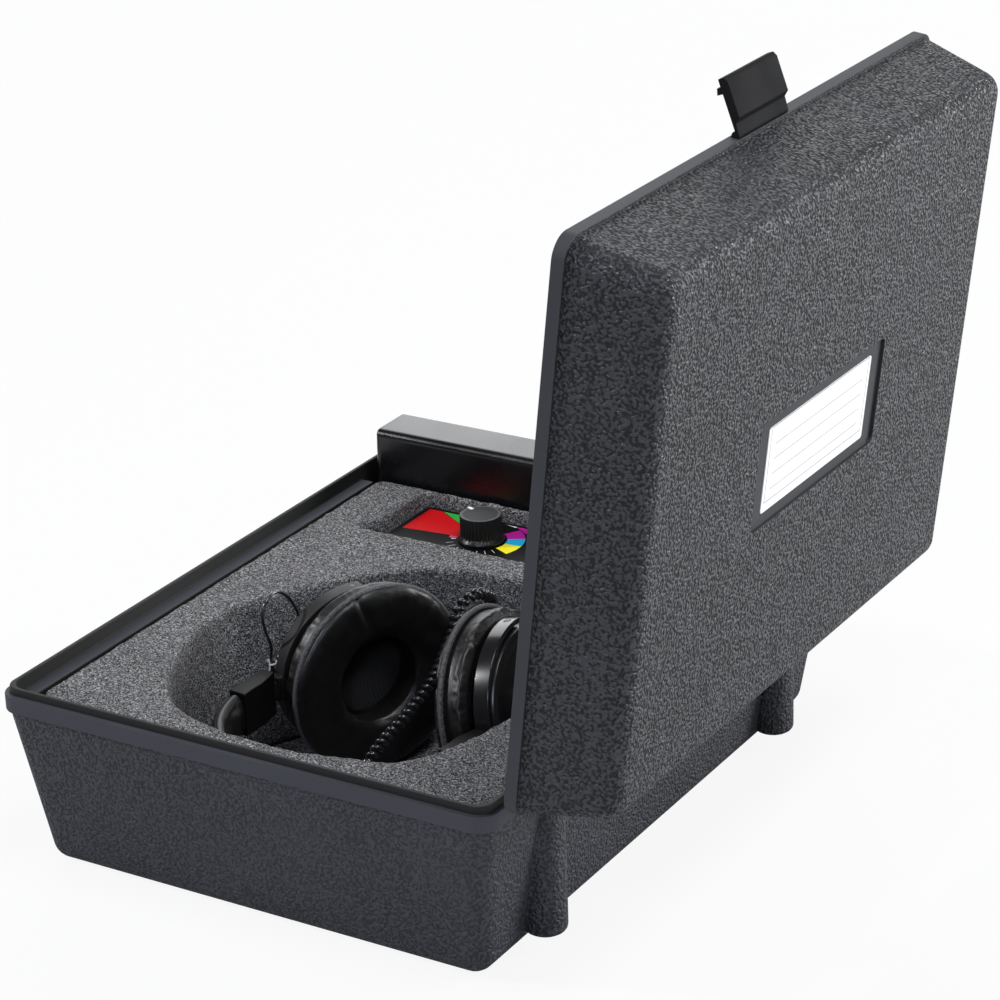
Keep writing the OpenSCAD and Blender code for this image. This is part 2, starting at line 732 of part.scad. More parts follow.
module selector_knob() color("#1a1b1d") at_unit(dial_z + slip) difference() {
    rotate_extrude() polygon([[0, 0], [knob_skirt_r, 0], [knob_skirt_r, 1], [knob_skirt_r - 0.9, 2.6],
        [knob_r - 0.5, 3.6], [knob_r - 0.5, knob_h - 3], [knob_r, knob_h - 1], [knob_r - 0.6, knob_h],
        [0, knob_h]]);
    translate([0, 0, -1]) cylinder(knob_h - 3, r = shaft_r);
    translate([0, 0, -1]) cylinder(3.8, r = shaft_r + 4.6);
    translate([0, 0, knob_h - 1]) cylinder(2, r = knob_r - 1.8);
    pointer_cut();
}

module pointer_cut() {
    rotate(pointer_turn) translate([knob_r - 1.4, 0, knob_h]) cube([4.4, 1.8, 1.6], center = true);
}
pointer_turn = 245;

module knob_cap() color("#6d747c") at_unit(dial_z + slip + knob_h - 1) difference() {
    cylinder(0.8, r = knob_r - 1.8);
    translate([0, 0, 1]) translate([0, 0, -knob_h]) pointer_cut();
}

module knob_pointer() color("white") at_unit(dial_z + slip) intersection() {
    pointer_cut();
    cylinder(knob_h - 0.1, r = knob_r - 0.1);
}

module selector_switch() color("#3a6a4a") at_unit(board_z) {
    rise = unit_top - unit_wall - board_z;
    difference() {
        union() {
            translate([0, 0, 0]) rounded_block(24, 24, rise - 3, 2);
            cylinder(rise, r = 7);
            cylinder(dial_z - board_z + 2.2, r = shaft_r + 1.6);
        }
        translate([0, 0, -1]) cylinder(60, r = shaft_r + 0.15);
    }
}

module switch_shaft() color("silver") at_unit(board_z + 1) {
    cylinder(dial_z + slip + knob_h - 4 - board_z - 1, r = shaft_r);
}

module switch_nut() color("silver") at_unit(unit_top) difference() {
    cylinder(2.2, r = shaft_r + 3.8, $fn = 6);
    translate([0, 0, -1]) cylinder(5, r = shaft_r + 1.6);
}

module circuit_board() color("#1f5c3a") at_unit(board_z - 1.6) difference() {
    rounded_block(unit_w - 2 * unit_wall - 1, unit_l - 2 * unit_wall - 1, 1.6, 1);
    for (sx = [-1, 1], sy = [-1, 1]) translate([sx * boss_x, sy * boss_y, -1])
        cylinder(4, r = boss_r + 0.3);
    translate([0, 0, -1]) cylinder(4, r = shaft_r + 0.6);
}

module battery() color("#8a6d2f") at_unit(unit_z + unit_wall + 0.3) {
    translate([0, -unit_l / 2 + unit_wall + battery_gap + battery_l / 2, 0])
        rounded_block(battery_w, battery_l, battery_h, 2);
}

module headphone_socket() color("#2b2c2e") at_unit(unit_z) {
    depth = seam_z - unit_z;
    translate([0, unit_l / 2 - unit_wall - 7, depth - socket_drop]) difference() {
        union() {
            bar_y(3.8, 14 + 2 * unit_wall);
            translate([-6, -7, -6]) cube([12, 14 - slip, 10.8]);
        }
        translate([0, 6, 0]) bar_y(1.8, 20);
    }
}

module unit_screws() color("silver")
    for (sx = [-1, 1], sy = [-1, 1]) at_unit(unit_z + 4) translate([sx * boss_x, sy * boss_y, 0]) {
        cylinder(seam_z - unit_z + 3, r = screw_r);
        translate([0, 0, -1.6]) cylinder(1.6, r = screw_head_r);
    }

// ---- headphones ----

// Strip along the headband: arms along X joined by a half circle, between two offsets from its middle
module band_plan(in_side, out_side, start_x) {
    translate([band_bend_x, band_mid_y]) intersection() {
        difference() {
            circle(band_r + out_side, $fn = 128);
            circle(band_r + in_side, $fn = 128);
        }
        translate([0, -band_r - 20]) square([2 * band_r, 2 * band_r + 40]);
    }
    if (start_x < band_bend_x) for (side = [left, right]) {
        out = side == left ? -1 : 1;
        low = arm_y[side] + min(out * in_side, out * out_side);
        translate([start_x, low]) square([band_bend_x - start_x, out_side - in_side]);
    }
}

module headband_steel() color("#9a9da1") at_phones() translate([0, 0, band_z - 5])
    linear_extrude(10) band_plan(-band_steel_t / 2, band_steel_t / 2, band_bend_x);

module headband_pad() color("#2a2a2c") {
    half = band_pad_t / 2;
    at_phones() difference() {
        translate([0, 0, band_z - band_w / 2]) linear_extrude(band_w)
            band_plan(-half, half, band_bend_x);
        translate([0, 0, band_z - 5 - slip]) linear_extrude(10 + 2 * slip)
            band_plan(-band_steel_t / 2 - slip, band_steel_t / 2 + slip, band_bend_x);
        translate([0, -case_w / 2, 0]) cube([band_bend_x + band_end_l, case_w, base_h]);
    }
}

// Moulded end of the headband that the slider runs in
module band_end(side) {
    half = band_pad_t / 2;
    past = side == left ? -case_w / 2 : band_mid_y;
    at_phones() difference() {
        intersection() {
            translate([0, 0, band_z - band_w / 2]) linear_extrude(band_w)
                band_plan(-half, half, arm_end_x);
            translate([0, past, 0])
                cube([band_bend_x + band_end_l - soft, case_w / 2 + band_mid_y, base_h]);
        }
        translate([arm_end_x, arm_y[side], 0]) linear_extrude(base_h)
            mirror([0, side == left ? 0 : 1])
                polygon([[-1, half - 2.8], [0, half - 2.5], [12, half + eps], [12, half + 5], [-1, half + 5]]);
        translate([arm_end_x - 1, arm_y[side] - slide_t / 2 - slip, band_z - slide_w / 2 - slip])
            cube([band_bend_x - arm_end_x + 0.4, slide_t + 2 * slip, slide_w + 2 * slip]);
        translate([0, 0, band_z - 5]) linear_extrude(10)
            band_plan(-band_steel_t / 2, band_steel_t / 2, band_bend_x);
    }
}
module band_end_left() color("#1d1e20") band_end(left);
module band_end_right() color("#1d1e20") band_end(right);

// Way from the cup's pivot to the middle of its fork, as seen from above
function fork_dir(side) = asin((arm_y[side] - pivot_at[side][1]) / fork_mid);
function fork_tip_x(side) = pivot_at[side][0] + fork_mid * cos(fork_dir(side));

module slider(side) at_phones() {
    translate([slider_x(side), arm_y[side] - slide_t / 2, band_z - slide_w / 2])
        cube([slider_l, slide_t, slide_w]);
}
module slider_left() color("silver") slider(left);
module slider_right() color("silver") slider(right);
function slider_x(side) = fork_tip_x(side) + fork_t / 2 + 1.6;

// Half ring round the cup's back, with an eye for each pivot and a block that grips the slider
module fork(side) {
    rise = fork_mid * sin(fork_dir(side)) * sin(cup_lean[side]);
    top = max(band_z + 6, pivot_at[side][2] + rise + fork_w / 2);
    at_phones() difference() {
        union() {
            translate(pivot_at[side]) rotate([cup_lean[side], 0, 0])
                rotate([0, 0, fork_dir(side)]) rotate([90, 0, 0]) linear_extrude(fork_w, center = true)
                    intersection() {
                        difference() {
                            circle(fork_r + fork_t, $fn = 96);
                            circle(fork_r, $fn = 96);
                        }
                        translate([-5, -60]) square([80, 120]);
                    }
            translate([fork_tip_x(side) - fork_t / 2 + 0.6, arm_y[side] - (side == left ? 4 : 2.2),
                band_z - 6]) cube([fork_t + 2.2, 6.2, top - band_z + 6]);
        }
        translate(pivot_at[side]) rotate([cup_lean[side], 0, 0])
            cylinder(3 * fork_r, r = pivot_r, center = true);
        translate([slider_x(side), arm_y[side] - slide_t / 2, band_z - slide_w / 2])
            cube([slider_l, slide_t, slide_w]);
        translate(pivot_at[side]) rotate([cup_lean[side], 0, 0]) rotate([0, 0, fork_dir(side)])
            bar_y(fork_r, 3 * fork_w);
    }
}
module fork_left() color("#202124") fork(left);
module fork_right() color("#202124") fork(right);

module pivot_pins(side) {
    at_cup(side) for (sz = [-1, 1])
        translate([0, 0, sz * (cup_r - 2.5 + fork_r + fork_t) / 2])
            cylinder(fork_r + fork_t - cup_r + 2.5, r = pivot_r, center = true);
}
module pivot_pins_left() color("silver") pivot_pins(left);
module pivot_pins_right() color("silver") pivot_pins(right);

// Shallow round shell with a rounded rim, a sunk back and a boss in its middle
module cup_shell(side) {
    front = pad_back - 2;
    back = front - cup_d;
    in_r = cup_r - cup_wall;
    dish = cup_r - cup_roll;
    at_cup(side) difference() {
        cup_turned([[0, front], [cup_r, front], [cup_r, back + 3], [cup_r - 1, back + 1], [cup_r - 3.5, back],
            [dish + 2, back + 0.4], [dish, back + 2.6], [cup_boss_r + 2, back + 3.6],
            [cup_boss_r + 0.4, back + 3.2], [cup_boss_r - 0.4, back - 1], [cup_boss_r - 2, back - 2],
            [0, back - 2.4]]);
        cup_turned([[0, front + 1], [in_r, front + 1], [in_r, back + 3.4], [cup_r - 4, back + cup_wall],
            [dish + 2.5, back + cup_wall + 0.6], [dish + 0.5, back + cup_wall + 2.6],
            [cup_boss_r, back + cup_wall + 3.6], [cup_boss_r - 2, back + cup_wall - 1.6],
            [0, back + cup_wall - 2.2]]);
        for (sz = [-1, 1]) translate([0, 0, sz * cup_r]) cylinder(6, r = pivot_r + 0.15, center = true);
    }
}
module cup_shell_left() color("#303235") cup_shell(left);
module cup_shell_right() color("#303235") cup_shell(right);

module cup_baffle(side) {
    at_cup(side) difference() {
        cup_turned([[0, pad_back - 2], [cup_r, pad_back - 2], [cup_r, pad_back - soft],
            [0, pad_back - soft]]);
        rotate([0, 90, 0]) cylinder(3 * pad_back, r = driver_r, center = true);
    }
}
module cup_baffle_left() color("#252628") cup_baffle(left);
module cup_baffle_right() color("#252628") cup_baffle(right);

// Driver with a flange behind the baffle, a cone in its hole and a magnet behind
module driver(side) {
    magnet_back = pad_back - 4.6 - magnet_l;
    at_cup(side) cup_turned([[0, magnet_back], [magnet_r, magnet_back], [magnet_r, pad_back - 4.6],
        [driver_r + 3, pad_back - 4], [driver_r + 3, pad_back - 2], [driver_r - slip, pad_back - 2],
        [driver_r - slip, pad_back - 0.6], [0, pad_back - 0.6]]);
}
module driver_left() color("#55585c") driver(left);
module driver_right() color("#55585c") driver(right);

module pad_cloth(side) {
    at_cup(side) cup_turned([[0, grille_x - 1], [pad_hole_r - 2, grille_x - 3.2],
        [pad_hole_r - soft, grille_x - 3.2], [pad_hole_r - soft, grille_x - 2.2],
        [pad_hole_r - 2, grille_x - 2.2], [0, grille_x]]);
}
module pad_cloth_left() color("#131315") pad_cloth(left);
module pad_cloth_right() color("#131315") pad_cloth(right);

// Stuffed ring: flat back on the baffle, full outer side up to its seam, rolled front
module ear_pad(side) {
    mid_r = (pad_r + pad_hole_r) / 2;
    half = (pad_r - pad_hole_r) / 2;
    seam = pad_back + seam_at;
    at_cup(side) cup_turned(concat([[pad_hole_r, pad_back], [pad_r - 2, pad_back],
        [pad_r - 0.6, pad_back + 2], [pad_r - 0.2, pad_back + 6], [pad_r - 0.8, seam - 1], [pad_r, seam]],
        [for (a = [10 : 10 : 170]) [mid_r + (half - 0.4) * cos(a), seam + (pad_t - seam_at) * sin(a)]],
        [[pad_hole_r, seam - 1]]));
}
module ear_pad_left() color("#3a3b3e") ear_pad(left);
module ear_pad_right() color("#3a3b3e") ear_pad(right);

// Tapered relief where the cord leaves the left cup
module cord_relief() color("#1a1a1c") at_cup(left) difference() {
    translate([-1, relief_at, 0]) rotate([-90, 0, 0]) cylinder(relief_l, r1 = 3.4, r2 = coil_d / 2);
    rotate([0, 90, 0]) cylinder(cup_d * 2, r = cup_r, center = true);
}

module curly_cord() color("#222224")
    tube(concat([relief_tip], smooth(concat([relief_tip + 2 * relief_way], coil_route), 2)),
        coil_d / 2, 8);
module cord_tail() color("#222224") tube(smooth(tail_route, 2), cord_d / 2, 8);
module cross_lead() color("#17181a") tube(smooth(lead_route, 1), lead_d / 2, 8);

// Twisted tie round the two strands of the thin lead, with its two ends
module wire_tie() color("#e8e8e8") translate([36.5, -67, 62.5]) {
    difference() {
        translate([0, 0, -0.8]) cylinder(1.6, r = lead_d + 0.9);
        translate([0, 0, -2]) cylinder(4, r = lead_d + 0.2);
    }
    translate([-lead_d - 0.5, 0, 0]) rotate([0, -80, 0]) cylinder(10, r = 0.5);
    translate([lead_d + 0.5, 0, 0]) rotate([0, 170, 0]) cylinder(8, r = 0.5);
}

// Moulded plug with a tapered tail, lying on the hollow's floor
module jack_plug() color("#2a2a2c") {
    end = tail_route[len(tail_route) - 1];
    translate(end) rotate([0, 0, plug_turn]) rotate([0, 90, 0]) rotate_extrude() polygon([
        [0, -0.6], [1.6, -0.6], [2.8, 6], [3, 8], [3, 20], [2.6, 21], [1.75, 21], [1.75, 31],
        [1.3, 32], [1.6, 33.4], [0.6, 35], [0, 35]]);
}

base_shell();
lid_shell();
hinge_pins();
latch_strap();
lid_label();
lid_foam();
handle_housing();
carry_handle();
handle_pins();
foam_sheet();
foam_insert();
unit_base();
unit_cover();
dial_plate();
selector_knob();
knob_cap();
knob_pointer();
selector_switch();
switch_shaft();
switch_nut();
circuit_board();
battery();
battery_door();
headphone_socket();
unit_screws();
headband_steel();
headband_pad();
band_end_left();
band_end_right();
slider_left();
slider_right();
fork_left();
fork_right();
pivot_pins_left();
pivot_pins_right();
cup_shell_left();
cup_shell_right();
cup_baffle_left();
cup_baffle_right();
driver_left();
driver_right();
pad_cloth_left();
pad_cloth_right();
ear_pad_left();
ear_pad_right();
cord_relief();
curly_cord();
cord_tail();
jack_plug();
cross_lead();
wire_tie();
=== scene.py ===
"""Finish for a portable listening tester: headphones and a rotary control unit in a moulded case.

Run as a script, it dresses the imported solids. As an add-on, it lists the same steps in the
3D view's sidebar, with the sizes and colours that a user would change.
"""

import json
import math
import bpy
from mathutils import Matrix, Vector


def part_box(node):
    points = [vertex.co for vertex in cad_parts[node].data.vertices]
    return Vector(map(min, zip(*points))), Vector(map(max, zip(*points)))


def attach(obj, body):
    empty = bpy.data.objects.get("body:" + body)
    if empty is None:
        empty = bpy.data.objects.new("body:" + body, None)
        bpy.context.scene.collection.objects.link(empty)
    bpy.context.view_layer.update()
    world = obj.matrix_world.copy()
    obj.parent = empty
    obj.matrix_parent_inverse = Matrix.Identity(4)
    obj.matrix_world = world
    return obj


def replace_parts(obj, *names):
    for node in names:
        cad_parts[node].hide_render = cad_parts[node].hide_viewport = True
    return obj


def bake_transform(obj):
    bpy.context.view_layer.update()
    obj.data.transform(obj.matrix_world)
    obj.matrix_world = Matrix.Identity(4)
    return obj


bl_info = {
    "name": "Listening tester finish",
    "version": (1, 0, 0),
    "blender": (4, 5, 0),
    "location": "View3D > Sidebar > Tester",
    "description": "Mouldings, foam, headphones, cords and stage of a portable listening tester",
    "category": "Object",
}

from functools import cache

import bpy
import numpy as np
from mathutils import Matrix, Vector

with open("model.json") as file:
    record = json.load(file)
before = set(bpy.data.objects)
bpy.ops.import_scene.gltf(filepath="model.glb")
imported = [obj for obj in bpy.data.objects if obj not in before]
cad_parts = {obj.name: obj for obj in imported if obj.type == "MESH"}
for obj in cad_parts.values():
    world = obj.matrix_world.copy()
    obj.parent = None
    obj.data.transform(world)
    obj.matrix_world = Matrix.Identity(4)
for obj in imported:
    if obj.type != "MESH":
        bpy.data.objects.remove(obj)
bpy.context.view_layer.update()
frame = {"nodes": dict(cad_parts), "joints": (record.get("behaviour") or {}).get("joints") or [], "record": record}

MM = 0.001
BODY_OF = {
    node: body for body, nodes in frame["record"]["behaviour"]["bodies"].items() for node in nodes
}
JOINT = {j["name"]: j for j in frame["joints"]}
LID_ANGLE = math.radians(97)

# Where the headphones lie, as in the solids' source, in metres and degrees
PHONES_TURN = -3
CUPS = {
    "left": {"pivot": (0.0113, -0.0396, 0.0542), "lean": 0, "faces": 69.5},
    "right": {"pivot": (0.0105, 0.057, 0.056969), "lean": 12, "faces": -83},
}
PAD_BACK, PAD_THICK, PAD_R, PAD_HOLE = 6.2 * MM, 18 * MM, 47 * MM, 21 * MM
PAD_SEAM = PAD_BACK + 0.67 * PAD_THICK
BAND_MIDDLE, BAND_R, BAND_Z = (73.6 * MM, 2.7 * MM), 59.7 * MM, 54 * MM

# Hollows of the shells with the lid shut, in mm: half sizes at their low and high ends, heights
BASE_HOLLOW = ((155.3, 117.9), (165.7, 128.9), 0, 87)
LID_HOLLOW = ((165.7, 128.7), (158.5, 121.5), 87, 135)

# End of the cord's relief in the left cup's own place, the radii of the cords, and the heights at which each cord
# is split into two pieces
RELIEF_END = Vector((-1, 44.52, 0)) * MM
COIL_WIRE_R, COIL_TURN_R, LEAD_R = 1.2 * MM, 1.85 * MM, 0.8 * MM
COIL_SPLIT_Z, LEAD_SPLIT_Z = 80 * MM, 48 * MM

# Routes of the cords, in mm. Near its tie the lead runs up to 3 mm from its solid's route.
COIL_ROUTE = [
    (-41, -19, 56), (-45, -9, 65), (-43, 3, 75), (-34, 9, 83), (-24, 8, 88), (-15, 4, 84),
    (-11, 3, 75), (-1, 4, 67), (13, 5, 58), (33, 3, 48), (54, -1, 38), (72, -1, 26), (88, 4, 15),
    (104, 8, 10.2), (118, 18, 10.2), (120, 34, 10.2), (108, 47, 10.2), (91, 47, 10.2),
    (79, 36, 10.2), (73, 22, 10.2),
]
TAIL_ROUTE = [
    (73, 22, 10.2), (71, 16, 10), (69, 7, 9), (69, -2, 9), (71, -10, 10), (74, -17, 10.2),
]
LEAD_ROUTE = [
    (55, -62.5, 46), (48, -65, 46), (43, -66, 51), (40.4, -67.5, 57), (40.1, -68, 62.5),
    (41.5, -66.5, 72), (45.5, -66, 81), (47.5, -66, 90), (44, -66, 96), (37.5, -66, 98),
    (30, -66, 95), (22.5, -66, 87), (17.5, -66, 76), (20, -66, 69), (28, -67, 64.8),
    (38.3, -68, 62.5), (38.5, -67.5, 55), (36, -66, 46), (34, -63, 39), (31.2, -57.6, 35),
]


class TesterSizes(bpy.types.PropertyGroup):
    """Sizes of the finish that a user would change"""

    grain: bpy.props.FloatProperty(
        name="Grain", description="Size of the pebbles in the case's grain",
        default=1.7 * MM, min=0.5 * MM, max=5 * MM, unit="LENGTH", precision=5)
    foam_voxel: bpy.props.FloatProperty(
        name="Foam voxel", description="Size of the faces on the cut foam",
        default=2.2 * MM, min=1.5 * MM, max=6 * MM, unit="LENGTH", precision=5)
    coil_pitch: bpy.props.FloatProperty(
        name="Coil pitch", description="Distance between the turns of the curly cord",
        default=4 * MM, min=2.2 * MM, max=6 * MM, unit="LENGTH", precision=5)
    stitch: bpy.props.FloatProperty(
        name="Stitch", description="Distance between the stitches of the ear pads' piping",
        default=2.9 * MM, min=1.5 * MM, max=6 * MM, unit="LENGTH", precision=5)
    fullness: bpy.props.FloatProperty(
        name="Fullness", description="Share by which the pads' vinyl is larger than their stuffing",
        default=0.035, min=0, max=0.2, subtype="FACTOR")


class TesterColours(bpy.types.PropertyGroup):
    """Colours of the finish that a user would change"""

    case: bpy.props.FloatVectorProperty(
        name="Case", description="Colour of the grained mouldings", subtype="COLOR",
        default=(0.02, 0.021, 0.025), min=0, max=1)
    foam: bpy.props.FloatVectorProperty(
        name="Foam", description="Colour of the foam", subtype="COLOR",
        default=(0.072, 0.072, 0.073), min=0, max=1)
    vinyl: bpy.props.FloatVectorProperty(
        name="Vinyl", description="Colour of the ear pads and the headband", subtype="COLOR",
        default=(0.005, 0.005, 0.005), min=0, max=1)
    floor: bpy.props.FloatVectorProperty(
        name="Floor", description="Colour of the floor", subtype="COLOR",
        default=(0.62, 0.62, 0.62), min=0, max=1)


# ---- shader expressions ----


class Signal:
    """A value in a material's nodes, so that shader maths reads as arithmetic"""

    def __init__(self, finish, socket):
        self.finish, self.socket = finish, socket

    def maths(self, operation, *others):
        values = {i: v for i, v in enumerate((self, *others))}
        return self.finish.node("ShaderNodeMath", {"operation": operation}, values)

    def __add__(self, other):
        return self.maths("ADD", other)

    __radd__ = __add__

    def __sub__(self, other):
        return self.maths("SUBTRACT", other)

    def __rsub__(self, other):
        return self.finish.node(
            "ShaderNodeMath", {"operation": "SUBTRACT"}, {0: other, 1: self})

    def __mul__(self, other):
        return self.maths("MULTIPLY", other)

    __rmul__ = __mul__

    def __truediv__(self, other):
        return self.maths("DIVIDE", other)

    def __pow__(self, other):
        return self.maths("POWER", other)

    def __gt__(self, other):
        return self.maths("GREATER_THAN", other)

    def __lt__(self, other):
        return self.maths("LESS_THAN", other)

    def __abs__(self):
        return self.maths("ABSOLUTE")

    def step(self, low, high):
        """0 below low and 1 above high, and smooth between them"""
        return self.finish.node(
            "ShaderNodeMapRange", {"interpolation_type": "SMOOTHSTEP"},
            {"Value": self, "From Min": low, "From Max": high})

    def between(self, low, high):
        return (self > low) * (self < high)


class Finish:
    """A procedural material"""

    def __init__(self, name):
        self.material = bpy.data.materials.new(name)
        self.material.use_nodes = True
        self.tree = self.material.node_tree
        self.tree.nodes.clear()
        self.output = self.tree.nodes.new("ShaderNodeOutputMaterial")
        self.place = self.node("ShaderNodeTexCoord", out="Object")

    def node(self, kind, settings=None, values=None, out=0):
        made = self.tree.nodes.new(kind)
        for key, value in (settings or {}).items():
            setattr(made, key, value)
        for key, value in (values or {}).items():
            if isinstance(value, Signal):
                self.tree.links.new(value.socket, made.inputs[key])
            else:
                if made.inputs[key].type == "RGBA" and len(value) == 3:
                    value = (*value, 1)
                made.inputs[key].default_value = value
        return Signal(self, made.outputs[out])

    def turned(self, angle, about):
        """The place turned by that angle about X, round a point"""
        turn = Matrix.Rotation(angle, 3, "X")
        shift = Vector(about) - turn @ Vector(about)
        return self.node("ShaderNodeMapping", values={
            "Vector": self.place, "Location": shift, "Rotation": (angle, 0, 0)})

    def stretched(self, scale, turn=(0, 0, 0)):
        return self.node("ShaderNodeMapping", values={
            "Vector": self.place, "Rotation": turn, "Scale": scale})

    def split(self, place):
        made = self.node("ShaderNodeSeparateXYZ", values={0: place})
        return [Signal(self, s) for s in made.socket.node.outputs]

    def noise(self, size, place=None, detail=3.0, out=0):
        return self.node("ShaderNodeTexNoise", values={
            "Vector": place or self.place, "Scale": 1 / size, "Detail": detail}, out=out)

    def cells(self, size, place=None, feature="F1", out="Distance"):
        return self.node("ShaderNodeTexVoronoi", {"feature": feature}, {
            "Vector": place or self.place, "Scale": 1 / size}, out=out)

    def wobbled(self, place, size, amount):
        """The place pushed about by noise"""
        noise = self.noise(size, place, 2, out=1)
        centred = self.node("ShaderNodeVectorMath", {"operation": "SUBTRACT"}, {
            0: noise, 1: (0.5, 0.5, 0.5)})
        return self.node("ShaderNodeVectorMath", {"operation": "MULTIPLY_ADD"}, {
            0: centred, 1: (amount,) * 3, 2: place})

    def mix(self, factor, a, b):
        return self.node("ShaderNodeMix", {"data_type": "RGBA"}, {0: factor, 6: a, 7: b}, out=2)

    def bump(self, height, depth, normal=None):
        values = {"Height": height, "Distance": depth, "Strength": 1.0}
        if normal:
            values["Normal"] = normal
        return self.node("ShaderNodeBump", values=values)

    def surface(self, colour, roughness, normal=None, shade=None, **others):
        """The finish as a shader; shade mixes in the lightless bottom of its grooves"""
        values = {"Base Color": colour, "Roughness": roughness}
        if normal:
            values["Normal"] = normal
        values.update({key.replace("_", " ").title(): v for key, v in others.items()})
        values["Specular IOR Level"] = values.pop("Specular Level", 0.5)
        shader = self.node("ShaderNodeBsdfPrincipled", values=values)
        if shade:
            deep = self.node("ShaderNodeBsdfDiffuse", values={"Color": (0.004, 0.004, 0.0045)})
            shader = self.node("ShaderNodeMixShader", values={0: shade, 1: shader, 2: deep})
        self.tree.links.new(shader.socket, self.output.inputs["Surface"])
        return self.material


def pebbles(finish, place, size):
    """Height of a leather grain: rounded wormy ridges between narrow grooves"""
    bent = finish.wobbled(place, size * 2, size * 0.7)
    worms = finish.noise(size * 0.9, bent, 0).step(0.3, 0.66)
    cells = finish.cells(size * 1.2, bent, "DISTANCE_TO_EDGE").step(0.0, 0.4)
    return worms * 0.62 + cells * 0.38


@cache
def grained_plastic(part, grain, colour):
    """Black moulding, pebbled outside and smooth on its rim band, inside and in the lid's panel; painted shade
    darkens its grooves, its inner faces and the ledge on the base's rim
    """
    finish = Finish(f"grained {part}")
    outer = finish.node("ShaderNodeAttribute", {"attribute_name": "outside"}, out="Fac")
    place = finish.place
    if part == "lid":
        place = finish.turned(LID_ANGLE, JOINT["lid_hinge"]["pos_m"])
        x, y, z = finish.split(place)
        panel_x, panel_y, panel_z, band_z = 59.2 * MM, 25.7 * MM, 134.4 * MM, 93.2 * MM
        panel = (abs(x) < panel_x) * (abs(y) < panel_y) * (z < panel_z)
        rough = outer * (z > band_z) * (1 - panel)
    else:
        band_z, rim_z = 79 * MM, 87.06 * MM
        _, _, z = finish.split(place)
        rough = outer * (z < band_z)
        # The ledge on top of the base's rim is left out of the outer faces, so that it takes the inner faces'
        # painted shade
        outer = outer * (z < rim_z)
    height = pebbles(finish, place, grain)
    grained = rough * height + (1 - rough) * 0.8
    swirl = finish.noise(0.4 * MM, place, 2)
    normal = finish.bump(grained + 0.02 * swirl, 0.9 * MM)
    worn = finish.noise(0.05, place, 4).step(0.3, 0.8)
    # Painted shade: the grooves get a darker colour than the pebble tops, darkest on the lid, and a dark diffuse
    # shader is mixed into their bottoms
    groove_shade_share, gain, shade = (0.4, 0.16, 0.1) if part == "base" else (0.06, 0.36, 0.34)
    deep = tuple(groove_shade_share * c for c in colour)
    light = tuple(1.5 * c + 0.003 for c in colour)
    tone = finish.mix(grained.step(0.15, 0.75), deep, tuple(1.15 * c for c in colour))
    tone = finish.mix(worn * 0.4, tone, light)
    # Painted shade: the inner faces, and the ledge on the base's rim, are near black
    tone = finish.mix(outer, (0.0015, 0.0015, 0.0015), tone)
    roughness = 0.66 - gain * grained * rough + 0.04 * worn
    grooves = rough * (1 - height.step(0.1, 0.68))
    return finish.surface(tone, roughness, normal, grooves * shade)


@cache
def satin_plastic(name, colour, roughness=0.38, texture=0.35, depth=0.03, coat=0.0,
                  level=0.5):
    """Smooth moulding with a fine spark-eroded texture, whose grain and depth are in mm"""
    finish = Finish(name)
    fine = finish.noise(texture * MM, detail=3)
    cloud = finish.noise(0.04, detail=4).step(0.3, 0.8)
    tone = finish.mix(cloud, tuple(0.85 * c for c in colour), tuple(1.2 * c for c in colour))
    normal = finish.bump(fine, depth * MM)
    rough = roughness - 0.03 + 0.1 * finish.noise(0.03, detail=5).step(0.35, 0.75)
    return finish.surface(tone, rough, normal, coat_weight=coat, coat_roughness=0.12,
                          specular_level=level)


@cache
def foam_rubber(colour):
    """Open-cell foam: pores darkened with painted shade between pale struts"""
    finish = Finish("open-cell foam")
    pores = finish.cells(1.1 * MM).step(0.1, 0.7)
    speck = finish.cells(0.62 * MM, out="Color") ** 2.6
    struts = finish.noise(0.5 * MM, detail=3).step(0.35, 0.65)
    drift = finish.noise(0.03, detail=4)
    # Painted shade: the struts' pale tone fades towards the middle of each pore
    bright = speck * 0.95 + struts * pores * 0.2
    light = tuple(min(1, 7 * c) for c in colour)
    tone = finish.mix(bright, tuple(0.05 * c for c in colour), light)
    tone = finish.mix(drift.step(0.3, 0.8) * 0.15, tone, tuple(0.8 * c for c in colour))
    normal = finish.bump(speck * 0.6 + pores * 0.6, 0.6 * MM)
    return finish.surface(tone, 0.95, normal, specular_level=0.1)


@cache
def soft_vinyl(colour):
    """Black leatherette with a fine grain and soft creases"""
    finish = Finish("soft vinyl")
    grain = finish.cells(0.7 * MM, finish.wobbled(finish.place, 1.6 * MM, 0.5 * MM),
                         "DISTANCE_TO_EDGE").step(0.0, 0.22)
    crease = finish.noise(5 * MM, finish.wobbled(finish.place, 9 * MM, 5 * MM), 3)
    normal = finish.bump(grain, 0.025 * MM)
    normal = finish.bump(crease, 0.12 * MM, normal)
    # Painted shade in the creases' hollows, and lighter tone on their crests
    tone = finish.mix(crease.step(0.3, 0.7), tuple(0.7 * c for c in colour),
                      tuple(1.2 * c for c in colour))
    return finish.surface(tone, 0.3 + 0.08 * (1 - grain) + 0.05 * crease, normal)


@cache
def thread():
    """Twisted sewing thread"""
    finish = Finish("thread")
    twist = finish.node("ShaderNodeTexWave", {"bands_direction": "DIAGONAL"},
                        {"Vector": finish.place, "Scale": 700.0})
    # Painted shade between the twisted strands, and lighter tone on their crests
    tone = finish.mix(twist, (0.016, 0.016, 0.017), (0.1, 0.1, 0.104))
    return finish.surface(tone, 0.55 + 0.15 * twist, finish.bump(twist, 0.08 * MM))


